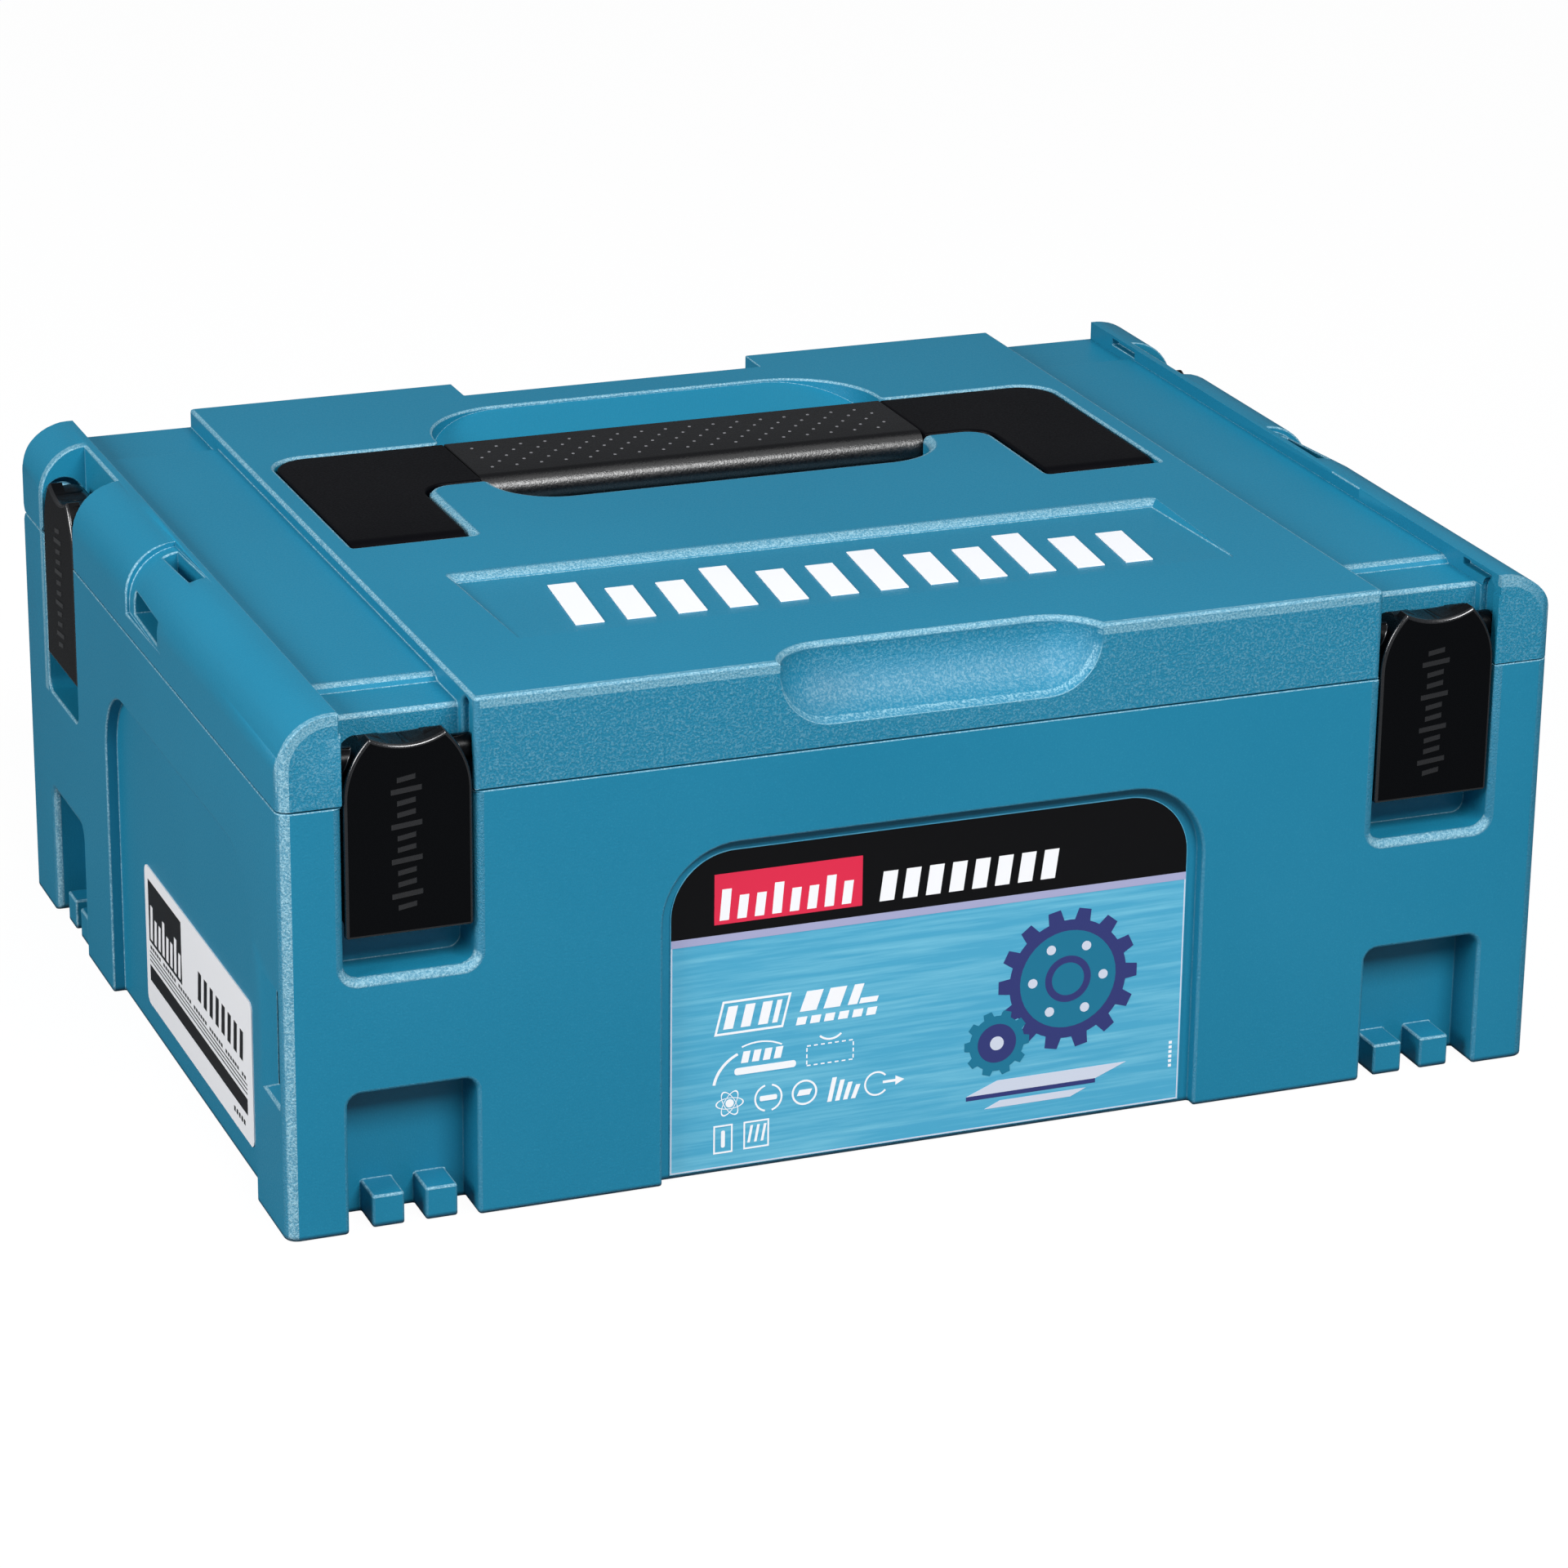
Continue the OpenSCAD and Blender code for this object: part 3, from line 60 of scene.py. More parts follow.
class Mat:
    """A principled material with a few procedural layers; coordinates are the object's own, in metres."""

    def __init__(self, name, base, rough, spec=0.5, metal=0.0):
        self.m = bpy.data.materials.new(name)
        self.m.use_nodes = True
        self.n, self.l = self.m.node_tree.nodes, self.m.node_tree.links
        self.p = self.n["Principled BSDF"]
        self.p.inputs["Base Color"].default_value = base
        self.p.inputs["Roughness"].default_value = rough
        self.p.inputs["Specular IOR Level"].default_value = spec
        self.p.inputs["Metallic"].default_value = metal
        self.co = self.n.new("ShaderNodeTexCoord").outputs["Object"]
        self.normal = None

    def noise(self, scale, detail=2.0, rough=0.5, stretch=None):
        co = self.co
        if stretch:
            mp = self.n.new("ShaderNodeMapping")
            mp.inputs["Scale"].default_value = stretch
            self.l.new(co, mp.inputs["Vector"])
            co = mp.outputs["Vector"]
        t = self.n.new("ShaderNodeTexNoise")
        t.inputs["Scale"].default_value = scale
        t.inputs["Detail"].default_value = detail
        t.inputs["Roughness"].default_value = rough
        self.l.new(co, t.inputs["Vector"])
        return t.outputs["Fac"]

    def axes(self, vector):
        """the X, Y and Z of a vector"""
        split = self.n.new("ShaderNodeSeparateXYZ")
        self.l.new(vector, split.inputs[0])
        return split.outputs

    def ramp(self, fac, lo, hi, a=0.0, b=1.0):
        """a to b as fac runs from lo to hi"""
        r = self.n.new("ShaderNodeMapRange")
        r.inputs["From Min"].default_value, r.inputs["From Max"].default_value = lo, hi
        r.inputs["To Min"].default_value, r.inputs["To Max"].default_value = a, b
        self.l.new(fac, r.inputs["Value"])
        return r.outputs["Result"]

    def calc(self, kind, a, b=0.0):
        """a math node of one kind on values or sockets"""
        r = self.n.new("ShaderNodeMath")
        r.operation = kind
        for i, v in enumerate((a, b)):
            if isinstance(v, (int, float)):
                r.inputs[i].default_value = v
            else:
                self.l.new(v, r.inputs[i])
        return r.outputs["Value"]

    def mul(self, a, b):
        return self.calc("MULTIPLY", a, b)

    def facing(self, axis, lo, hi):
        """0 to 1 as the surface turns from lo to hi along one of the object's axes"""
        normal = self.n.new("ShaderNodeTexCoord").outputs["Normal"]
        return self.ramp(self.axes(normal)[axis], lo, hi)

    def where(self, axis, lo, hi):
        """0 to 1 as the object's own coordinate runs from lo to hi (metres)"""
        return self.ramp(self.axes(self.co)[axis], lo, hi)

    def tint(self, fac, other):
        """mixes the base colour towards other by fac"""
        mx = self.n.new("ShaderNodeMix")
        mx.data_type = "RGBA"
        src = self.p.inputs["Base Color"]
        if src.is_linked:
            self.l.new(src.links[0].from_socket, mx.inputs["A"])
        else:
            mx.inputs["A"].default_value = src.default_value
        mx.inputs["B"].default_value = other
        self.l.new(fac, mx.inputs["Factor"])
        self.l.new(mx.outputs["Result"], src)

    def roughen(self, fac):
        self.l.new(fac, self.p.inputs["Roughness"])

    def gloss(self, fac):
        self.l.new(fac, self.p.inputs["Specular IOR Level"])

    def bump(self, fac, strength, distance):
        b = self.n.new("ShaderNodeBump")
        b.inputs["Strength"].default_value = strength
        b.inputs["Distance"].default_value = distance
        self.l.new(fac, b.inputs["Height"])
        if self.normal:
            self.l.new(self.normal, b.inputs["Normal"])
        self.normal = b.outputs["Normal"]
        self.l.new(self.normal, self.p.inputs["Normal"])


def plastic(name, base, rough, grain=900, strength=0.25, depth=0.0002, mottle=0.05, spec=0.5):
    """moulded plastic: spark-eroded grain, slight cloudiness, uneven gloss"""
    m = Mat(name, base, rough, spec)
    fine = m.noise(grain, 2.0, 0.6)
    m.bump(m.ramp(fine, 0.25, 0.75), strength, depth)
    cloud = m.noise(14, 3.0, 0.5)
    light = tuple(min(1.0, c * 1.35 + 0.01) for c in base[:3]) + (1.0,)
    m.tint(m.ramp(cloud, 0.35, 0.75, 0.0, mottle), light)
    m.roughen(m.mul(m.ramp(fine, 0.3, 0.7, rough - 0.05, rough + 0.07), m.ramp(cloud, 0.3, 0.7, 0.95, 1.06)))
    return m


def film(name, base, streaks=None, rough=0.28):
    """printed film: smooth, faint waviness, and faint horizontal streaks where asked for"""
    m = Mat(name, base, rough, 0.25)
    if streaks:
        m.tint(m.ramp(m.noise(60, 4.0, 0.65, (0.35, 1, 9)), 0.42, 0.70, 0.0, 0.75), streaks)
    m.bump(m.noise(55, 1.0, 0.4), 0.05, 0.0004)
    return m


TEAL = rgb(18, 116, 148)
TEAL_LIGHT = rgb(58, 150, 182)
TEAL_DARK = rgb(8, 96, 126)
# pale teal painted on as highlight: on the rounded edges, the front's border, the lid front's specks and the
# scoop's lip
TEAL_PAINTED_HIGHLIGHT = rgb(158, 200, 214)
# greyish pale painted on as the highlight inside the lid's finger scoop
TEAL_SCOOP_HIGHLIGHT = rgb(172, 190, 192)
TEAL_SHADE = rgb(4, 40, 60)
FRONT_Y = -0.146                               # the front's faces with painted highlight lie before this (metres)
PLAIN_X, PLAIN_Z = 0.182, 0.1415               # corners of the front's plain field
BORDER_FROM = 0.0126                           # how far outside these corners the painted highlight border starts
# where the band of painted highlight before the left side latch lies
LATCH_BAND_Y, LATCH_BAND_Z, LATCH_BAND_X = (0.1190, 0.1234), 0.0765, -0.182
CORNER_X, CORNER_Y = 0.1935, 0.1435            # the shells' rounded upright corners lie outside these
SCOOP_FRONT, LID_TOP = -0.1448, 0.155          # the scoop's lip with painted highlight lies before or above these


def border(m):
    """1 where a highlight is painted on: the border of the front, which runs along its top edge, round the
    rails' ends and down the left corner, and the band in front of the left side latch"""
    at = m.axes(m.co)
    out = m.calc("MAXIMUM", m.calc("SUBTRACT", m.calc("ABSOLUTE", at["X"]), PLAIN_X), 0.0)
    high = m.calc("MAXIMUM", m.calc("SUBTRACT", at["Z"], PLAIN_Z), 0.0)
    reach = m.calc("POWER", m.calc("ADD", m.calc("POWER", out, 2.0), m.calc("POWER", high, 2.0)), 0.5)
    front = m.mul(m.mul(m.ramp(reach, BORDER_FROM, BORDER_FROM + 0.0003),
                        m.where("Y", FRONT_Y + 0.0002, FRONT_Y - 0.0002)), m.where("X", 0.196, 0.186))
    y0, y1 = LATCH_BAND_Y
    along = m.mul(m.where("Z", LATCH_BAND_Z, LATCH_BAND_Z + 0.0005),
                  m.where("X", LATCH_BAND_X, LATCH_BAND_X - 0.003))
    band = m.mul(m.mul(m.where("Y", y0, y0 + 0.0002), m.where("Y", y1, y1 - 0.0004)), along)
    outward = m.mul(m.facing("Y", 0.5, 0.2), m.facing("Y", -0.6, -0.3))
    return m.calc("MAXIMUM", front, m.mul(band, outward))


def foot(m):
    """painted shade on the lowest millimetre of the case's outside, where it meets the ground; not the
    underside itself
    """
    return m.mul(m.mul(m.where("Z", 0.0018, 0.0008), m.facing("Z", -0.9, -0.5)), 0.85)


def lid_front(m):
    """coarser grain on the lid's front with pale specks painted on as its sparkle highlight, and painted
    highlight in the finger scoop and on its lip
    """
    grain = m.ramp(m.noise(1350, 3.0, 0.7), 0.3, 0.7)
    zone = m.where("Y", -0.125, -0.135)
    front = m.mul(m.facing("Y", -0.12, -0.5), zone)
    m.bump(m.mul(grain, front), 0.55, 0.00026)
    # pale specks painted on as the sparkle highlight of the lid front's coarse grain
    m.tint(m.mul(m.ramp(grain, 0.45, 0.9, 0.0, 0.22), front), TEAL_PAINTED_HIGHLIGHT)
    scoop = m.mul(m.mul(m.facing("Y", -0.2, -0.4), m.facing("Z", 0.12, 0.2)), zone)
    highlight_zone = m.mul(m.facing("Z", 0.30, 0.62), m.facing("Z", 0.95, 0.72))
    # painted highlight inside the scoop, strongest where it turns about halfway up
    m.tint(m.mul(m.mul(m.ramp(grain, 0.2, 0.85, 0.0, 0.15), scoop), highlight_zone), TEAL_SCOOP_HIGHLIGHT)
    lip = m.calc("MAXIMUM", m.where("Y", SCOOP_FRONT + 0.0002, SCOOP_FRONT - 0.0002),
                 m.where("Z", LID_TOP - 0.0002, LID_TOP + 0.0002))
    # painted highlight on the scoop's lip
    m.tint(m.mul(m.mul(m.ramp(grain, 0.42, 0.66, 0.10, 0.62), scoop), lip), TEAL_PAINTED_HIGHLIGHT)


def case_teal(name, is_lid):
    """moulded case plastic: fine grain, cloudy and speckled colour, painted highlight on the front's border,
    and on the base painted shade at its foot
    """
    m = Mat(name, TEAL, 0.4, 0.42)
    fine = m.noise(1500, 3.0, 0.65)
    m.bump(m.ramp(fine, 0.25, 0.75), 0.30, 0.00016)
    cloud = m.noise(9, 3.0, 0.5)
    m.tint(m.ramp(cloud, 0.35, 0.75, 0.0, 0.10), TEAL_LIGHT)
    speck = m.noise(2300, 2.0, 0.7)
    m.tint(m.ramp(speck, 0.56, 0.80, 0.0, 0.28), TEAL_LIGHT)
    m.tint(m.ramp(speck, 0.44, 0.22, 0.0, 0.20), TEAL_DARK)
    if is_lid:
        lid_front(m)
    highlight_speckle = m.ramp(m.noise(1500, 3.0, 0.75), 0.42, 0.64)
    # painted highlight on the front's border, speckled by the grain
    m.tint(m.mul(m.ramp(highlight_speckle, 0.0, 1.0, 0.14, 0.66), border(m)), TEAL_PAINTED_HIGHLIGHT)
    if not is_lid:
        # painted shade along the case's foot
        m.tint(foot(m), TEAL_SHADE)
    m.roughen(m.mul(m.ramp(fine, 0.3, 0.7, 0.33, 0.46), m.ramp(cloud, 0.3, 0.7, 0.95, 1.06)))
    return m


def rim_teal():
    """rounded edges of the case: coarser grain, pale specks painted on as highlight, most of all where they
    turn up or outwards, and painted shade at the foot
    """
    m = Mat("case_teal_rim", TEAL, 0.42, 0.6)
    coarse = m.noise(1500, 3.0, 0.75)
    m.bump(m.ramp(coarse, 0.3, 0.7), 0.6, 0.0003)
    up = m.mul(m.facing("Z", 0.03, 0.15), m.facing("Z", 0.998, 0.97))
    side = m.mul(m.mul(m.facing("X", -0.05, -0.10), m.facing("X", -0.84, -0.76)),
                 m.mul(m.facing("Y", 0.1, -0.2), m.where("X", 0.0003 - CORNER_X, -0.0003 - CORNER_X)))
    turn = m.calc("MAXIMUM", up, side)
    highlight_speckle = m.ramp(coarse, 0.42, 0.64, 0.16, 0.78)
    # painted highlight on rounded edges that turn up, and on the left upright corners
    m.tint(m.mul(highlight_speckle, m.ramp(turn, 0.0, 1.0, 0.10, 1.0)), TEAL_PAINTED_HIGHLIGHT)
    # painted shade on the rounded edges at the foot
    m.tint(foot(m), TEAL_SHADE)
    return m


def grip_rubber():
    """handle grip: its front shines more than its top"""
    m = plastic("grip_black", rgb(5, 5, 7), 0.3, 1500, 0.35, 0.00012, 0.01)
    m.gloss(m.ramp(m.facing("Y", -0.2, -0.75), 0.0, 1.0, 0.24, 0.75))
    return m


def brushed_steel():
    m = Mat("tool_steel", rgb(176, 178, 182), 0.3, metal=1.0)
    m.roughen(m.ramp(m.noise(300, 2.0, 0.6, (1, 12, 1)), 0.3, 0.7, 0.22, 0.4))
    return m


def cast_alloy():
    m = plastic("tool_alloy", rgb(160, 162, 166), 0.38, 1200, 0.25, 0.00008, 0.04)
    m.p.inputs["Metallic"].default_value = 0.9
    return m


M = {
    "teal": case_teal("case_teal_base", False),
    "teal_lid": case_teal("case_teal_lid", True),
    "teal_rim": rim_teal(),
    "black": plastic("case_black", rgb(5, 6, 8), 0.3, 1800, 0.12, 0.00008, 0.01, 0.1),
    "black_rim": plastic("case_black_rim", rgb(16, 17, 20), 0.22, 1800, 0.05, 0.00004, 0.01, 1.0),
    "handle": plastic("handle_black", rgb(5, 5, 8), 0.42, 1500, 0.25, 0.0001, 0.01, 0.06),
    "grip": grip_rubber(),
    "grip_dot": Mat("grip_dot", rgb(112, 112, 116), 0.35),
    "pin": Mat("pin_steel", rgb(190, 192, 196), 0.28, metal=1.0),
    "white": plastic("badge_white", rgb(232, 234, 238), 0.45, 1800, 0.08, 0.00005, 0.0),
    "tray": plastic("tray_grey", rgb(44, 46, 50), 0.5, 900, 0.2, 0.0001),
    "tool_teal": plastic("tool_teal", rgb(18, 108, 136), 0.42, 1600, 0.25, 0.0001),
    "tool_navy": plastic("tool_navy", rgb(30, 34, 50), 0.6, 1200, 0.3, 0.00012, 0.02),
    "tool_black": plastic("tool_black", rgb(14, 14, 16), 0.42, 1500, 0.2, 0.0001, 0.02),
    "alloy": cast_alloy(),
    "steel": brushed_steel(),
    "bronze": Mat("bush_bronze", rgb(190, 150, 90), 0.4, metal=1.0),
    "copper": Mat("winding_copper", rgb(180, 100, 50), 0.38, metal=1.0),
    "print_blue": film("print_blue", rgb(74, 160, 194), rgb(116, 188, 212)),
    "print_white": film("print_white", rgb(236, 237, 240)),
    "print_black": film("print_black", rgb(6, 6, 8)),
    "print_red": film("print_red", rgb(214, 44, 74)),
    "print_lilac": film("print_lilac", rgb(160, 162, 196)),
    "print_navy": film("print_navy", rgb(50, 56, 112)),
    "print_teal": film("print_teal", rgb(30, 112, 142)),
    "print_grey": film("print_grey", rgb(198, 205, 220)),
}

LOOK = {  # node: material
    "base_shell": "teal", "lid_shell": "teal_lid", "hinge_pins": "pin", "handle_frame": "handle",
    "handle_grip": "grip", "handle_pins": "pin", "latch_front_left": "black", "latch_front_right": "black",
    "latch_side_left": "black", "latch_side_right": "black", "front_label": "print_blue",
    "side_label": "print_white", "lid_badge": "white", "insert_tray": "tray",
    "jig_housing_left": "tool_teal", "jig_housing_right": "tool_teal", "jig_soft_cover": "tool_navy",
    "jig_gear_frame": "alloy", "jig_crank_gear": "steel", "jig_plunger": "steel", "jig_bushes": "bronze",
    "jig_blade_clamp": "tool_black", "jig_blade": "steel", "jig_guide_roller": "steel",
    "jig_roller_bracket": "alloy", "jig_sole_plate": "alloy", "jig_sole_cradle": "alloy",
    "jig_bevel_mount": "tool_navy", "jig_stator": "copper", "jig_rotor": "steel", "jig_fan": "tool_black",
    "jig_bearings": "steel", "jig_trigger": "tool_black", "jig_lock_button": "tool_black",
    "jig_speed_dial": "tool_black", "jig_orbital_lever": "tool_black", "jig_battery_terminal": "tool_black",
    "jig_screws": "steel", "jig_blade_guard": "steel"}


# ---------- rounded copies of the CAD nodes ----------
SHELLS = ("base_shell", "lid_shell")
LATCHES = ("latch_front_left", "latch_front_right", "latch_side_left", "latch_side_right")
BODY = {n: b for b, ns in frame["record"]["behaviour"]["bodies"].items() for n in ns}
SEGMENTS = 3                                   # steps of a rounding
SHARP = math.radians(30)                       # edges that turn more than this are rounded
FLAT = math.radians(0.03)                      # faces that turn less than this are one face
RUNS_ON = -0.8                                 # cosine under which two edges at a corner run on smoothly
SHARE = 0.92                                   # how much of a free width the roundings may take
SMALLEST = 0.00005                             # rounding that two close edges keep (metres)
CASE_R, LID_FRONT_R = 2.6, 3.4                 # roundings outside the case and on the lid's front edge (mm)
# steps of the lid that lean (mm): the badge field in the plateau, and the rear of the two front strips
PLATEAU_Z, FIELD_X, FIELD_Y, FIELD_R = 157.5, 113, (-103.5, -45.5), 5.2
FIELD_DEPTH, FIELD_LEAN = 2.0, 1.7             # depth at the rear, and how far a wall leans for its depth
STRIP_Z, STRIP_Y, STRIP_LEAN = 153.5, -115, 3


def clamp(value, lo, hi):
    return max(lo, min(hi, value))


def slant_steps(bm):
    """leans the walls round the lid's badge field and behind its two strips, as moulded steps have draft"""
    y0, y1 = FIELD_Y
    for v in bm.verts:
        x, y, z = v.co / MM
        if abs(z - PLATEAU_Z) < 0.02 and abs(x) < FIELD_X + 0.2 and y0 - 0.1 < y < y1 + 0.2:
            core = Vector((clamp(x, FIELD_R - FIELD_X, FIELD_X - FIELD_R),
                           clamp(y, y0 + FIELD_R, y1 - FIELD_R), z))
            out = Vector((x, y, z)) - core
            if out.length > 0.1:
                v.co += out.normalized() * FIELD_LEAN * (FIELD_DEPTH * (y - y0) / (y1 - y0)) * MM
        elif abs(z - STRIP_Z) < 0.02 and abs(y - STRIP_Y) < 0.05 and 140 < abs(x) < 181:
            v.co.y += STRIP_LEAN * MM


def is_sharp(e):
    return len(e.link_faces) == 2 and e.calc_face_angle(0) > SHARP


def direction(e, v):
    """the way that an edge leaves one of its corners"""
    return (e.other_vert(v).co - v.co).normalized()


def split_faces(bm, largest):
    """Plane cuts through every hole, well away from all corners, so that flat faces become simple shapes."""
    for axis in range(3):
        marks = sorted({round(v.co[axis], 5) for e in bm.edges if is_sharp(e) for v in e.verts})
        normal = Vector([float(axis == i) for i in range(3)])
        for lo, hi in zip(marks, marks[1:]):
            if hi - lo <= 2.4 * largest + 0.0008:                # no room between the roundings
                continue
            at = (lo + hi) / 2
            cut = bmesh.ops.bisect_plane(bm, geom=bm.verts[:] + bm.edges[:] + bm.faces[:], dist=1e-7,
                                         plane_co=normal * at, plane_no=normal)
            for g in cut["geom_cut"]:
                if isinstance(g, bmesh.types.BMEdge):
                    g.seam = True
    bmesh.ops.dissolve_limit(bm, angle_limit=FLAT, verts=[], edges=bm.edges, delimit={"SEAM"})
    bm.normal_update()


def chains_of(bm, sharp):
    """Sharp edges that run on smoothly share one width: for each, the index that stands for its chain."""
    parent = {i: i for i in sharp}

    def find(i):
        while parent[i] != i:
            parent[i] = parent[parent[i]]
            i = parent[i]
        return i

    for v in bm.verts:
        near = [e for e in v.link_edges if e.index in sharp]
        for i, e in enumerate(near):
            for g in near[:i]:
                if direction(e, v).dot(direction(g, v)) < RUNS_ON:
                    parent[find(e.index)] = find(g.index)
    return {i: find(i) for i in sharp}


def room_at_corners(f, e, want, chain, meets):
    """the widest rounding of edge e that stays clear of the corners of face f"""
    start = e.verts[0].co
    along = e.verts[1].co - start
    length = along.length
    along = along / length
    w, own = want[e.index], chain[e.index]
    room = w
    for v in f.verts:
        t = (v.co - start).dot(along)
        if v in e.verts or t < -w or t > length + w:
            continue
        d = (v.co - start - along * t).length
        here = meets.get(v.index, ())
        if d < 2e-5 or own in here and d < 0.8 * w + 0.0004:     # on the edge's line, or along its own chain
            continue
        other = 0.0
        if here and own not in here and -1e-6 < t < length + 1e-6:
            near = [g for g in v.link_edges if g.index in want]
            if any(abs(direction(g, v).dot(along)) > 0.5 for g in near if g in f.edges[:]):
                other = max(want[g.index] for g in near)         # an edge that faces e takes its share
        room = min(room, SHARE * d * w / (w + other))
    return room


def room_at_edges(f, e, want, chain):
    """the widest rounding of edge e that leaves the other edges of face f their share"""
    start = e.verts[0].co
    along = e.verts[1].co - start
    length = along.length
    along = along / length
    w, own = want[e.index], chain[e.index]
    room = w
    for g in f.edges:
        if g is e or set(g.verts) & set(e.verts) or chain.get(g.index) == own:
            continue
        ends = []
        for v in g.verts:
            t = (v.co - start).dot(along)
            ends.append((t, (v.co - start - along * t).length))
        (t0, d0), (t1, d1) = sorted(ends)
        if t1 <= 1e-5 or t0 >= length - 1e-5 or t1 - t0 < 1e-6 or min(d0, d1) > 2 * w:
            continue
        near = min(d0 + (d1 - d0) * (clamp(t, 0.0, length) - t0) / (t1 - t0)
                   for t in (max(t0, 0.0), min(t1, length)))
        room = min(room, max(SMALLEST, SHARE * near * w / (w + want.get(g.index, 0.0))))
    return room


def weigh_edges(bm, weight, width, largest):
    """Gives every sharp edge the bevel weight that its chain has room for, and returns the sharp edges."""
    bm.edges.ensure_lookup_table()
    bm.edges.index_update()
    sharp = {e.index: e for e in bm.edges if is_sharp(e)}
    chain = chains_of(bm, sharp)
    want = {}
    meets = {}                                                   # corner: chains that pass it
    for i, e in sharp.items():
        e.smooth = False
        want[i] = min(largest, width((e.verts[0].co + e.verts[1].co) / 2, e.is_convex))
        for v in e.verts:
            meets.setdefault(v.index, set()).add(chain[i])
    room = {}
    for f in bm.faces:
        for e in f.edges:
            if e.index in sharp:
                own = chain[e.index]
                room[own] = min(room.get(own, largest), room_at_corners(f, e, want, chain, meets),
                                room_at_edges(f, e, want, chain))
    for i, e in sharp.items():
        e[weight] = clamp(room[chain[i]] / largest, 0.0, 1.0)
    return list(sharp.values())


def crossings(corners, normal):
    """where the sides of a flat outline cross: the ends of these sides, or all corners of a small outline"""
    drop = max(range(3), key=lambda k: abs(normal[k]))
    i, j = [k for k in range(3) if k != drop]
    flat = [Vector((c[i], c[j])) for c in corners]
    n, spots = len(corners), []
    for a in range(n):
        for b in range(a + 2, n - (a == 0)):
            if intersect_line_line_2d(flat[a], flat[(a + 1) % n], flat[b], flat[(b + 1) % n]):
                spots += [corners[k % n] for k in (a, a + 1, b, b + 1)]
    if not spots and n < 9:
        spots = corners
    return spots


def faults(ob, tree, largest):
    """Places where the rounded mesh went wrong: outlines that cross themselves, and the neighbours of stray
    corners, which lie farther from the CAD surface than rounding can put them."""
    ev = ob.evaluated_get(bpy.context.evaluated_depsgraph_get())
    me = ev.to_mesh()
    me.calc_loop_triangles()
    area = {}
    for t in me.loop_triangles:
        area[t.polygon_index] = area.get(t.polygon_index, 0.0) + t.area
    reach = 0.46 * largest + 0.00003
    stray = {v.index for v in me.vertices if tree.find_nearest(v.co, reach)[0] is None}
    spots = []
    for p in me.polygons:
        ids = list(p.vertices)
        if any(i in stray for i in ids):
            spots += [me.vertices[i].co.copy() for i in ids if i not in stray]
        excess = area[p.index] - p.area                          # triangles of a crossed outline overlap
        if len(ids) > 3 and excess > 0.02 * p.area + 0.2e-6 or len(ids) > 8 and excess > 0.5e-6:
            spots += crossings([me.vertices[i].co.copy() for i in ids], p.normal)
    ev.to_mesh_clear()
    return spots


def settle(ob, bm, weight, sharp, largest):
    """Narrows the roundings near each fault, harder and harder, until the mesh is clean."""
    tree = BVHTree.FromBMesh(bm)
    near = 0.6 * largest + 0.0003
    for shrink in [0.7] * 4 + [0.4] * 4 + [0.0] * 3:
        bm.to_mesh(ob.data)
        spots = faults(ob, tree, largest)
        if not spots:
            return
        for e in sharp:
            a, c = e.verts[0].co, e.verts[1].co
            side = c - a
            for p in spots:
                t = clamp((p - a).dot(side) / side.length_squared, 0.0, 1.0)
                if (a.lerp(c, t) - p).length < near:
                    e[weight] *= shrink
                    break
    bm.to_mesh(ob.data)


def mark_corners(me):
    """gives the upright outer corners of a shell the material of its rounded edges, with that material's
    painted highlight
    """
    for p in me.polygons:
        n, c = p.normal, p.center
        turned = abs(n.z) < 0.2 and min(abs(n.x), abs(n.y)) > 0.12
        if turned and abs(c.x) > CORNER_X and abs(c.y) > CORNER_Y:
            p.material_index = 1


def rounded(node, width, largest, rim=None):
    """Makes a copy of a CAD node with its edges rounded. width(middle, convex) gives the radius asked for in
    metres; it is cut back where two sharp edges lie close together. rim is the rounded edges' material."""
    bm = bmesh.new()
    bm.from_mesh(frame["nodes"][node].data)
    bmesh.ops.remove_doubles(bm, verts=bm.verts, dist=2e-6)
    bmesh.ops.dissolve_limit(bm, angle_limit=FLAT, verts=bm.verts, edges=bm.edges)
    if node == "lid_shell":
        slant_steps(bm)
    split_faces(bm, largest)
    weight = bm.edges.layers.float.new("bevel_weight_edge")
    sharp = weigh_edges(bm, weight, width, largest)
    for f in bm.faces:
        f.smooth = True
        f.material_index = 0

    me = bpy.data.meshes.new(node + "_soft")
    me.materials.append(M[LOOK[node]].m)
    me.materials.append(M[rim or LOOK[node]].m)
    ob = bpy.data.objects.new(node + "_body", me)
    bpy.context.scene.collection.objects.link(ob)
    mod = ob.modifiers.new("round", "BEVEL")
    mod.width = largest
    mod.segments = SEGMENTS
    mod.limit_method = "WEIGHT"
    mod.use_clamp_overlap = False
    mod.harden_normals = True
    mod.miter_outer = "MITER_ARC"
    mod.material = 1
    settle(ob, bm, weight, sharp, largest)
    bm.free()

    soft = bpy.data.meshes.new_from_object(ob.evaluated_get(bpy.context.evaluated_depsgraph_get()))
    ob.modifiers.clear()
    ob.data = soft
    lo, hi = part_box(node)
    for v in soft.vertices:                                      # never past the CAD node's box
        v.co = [clamp(c, a, b) for a, c, b in zip(lo, v.co, hi)]
    if node in SHELLS:
        mark_corners(soft)
    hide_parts(node)
    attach(ob, BODY[node])


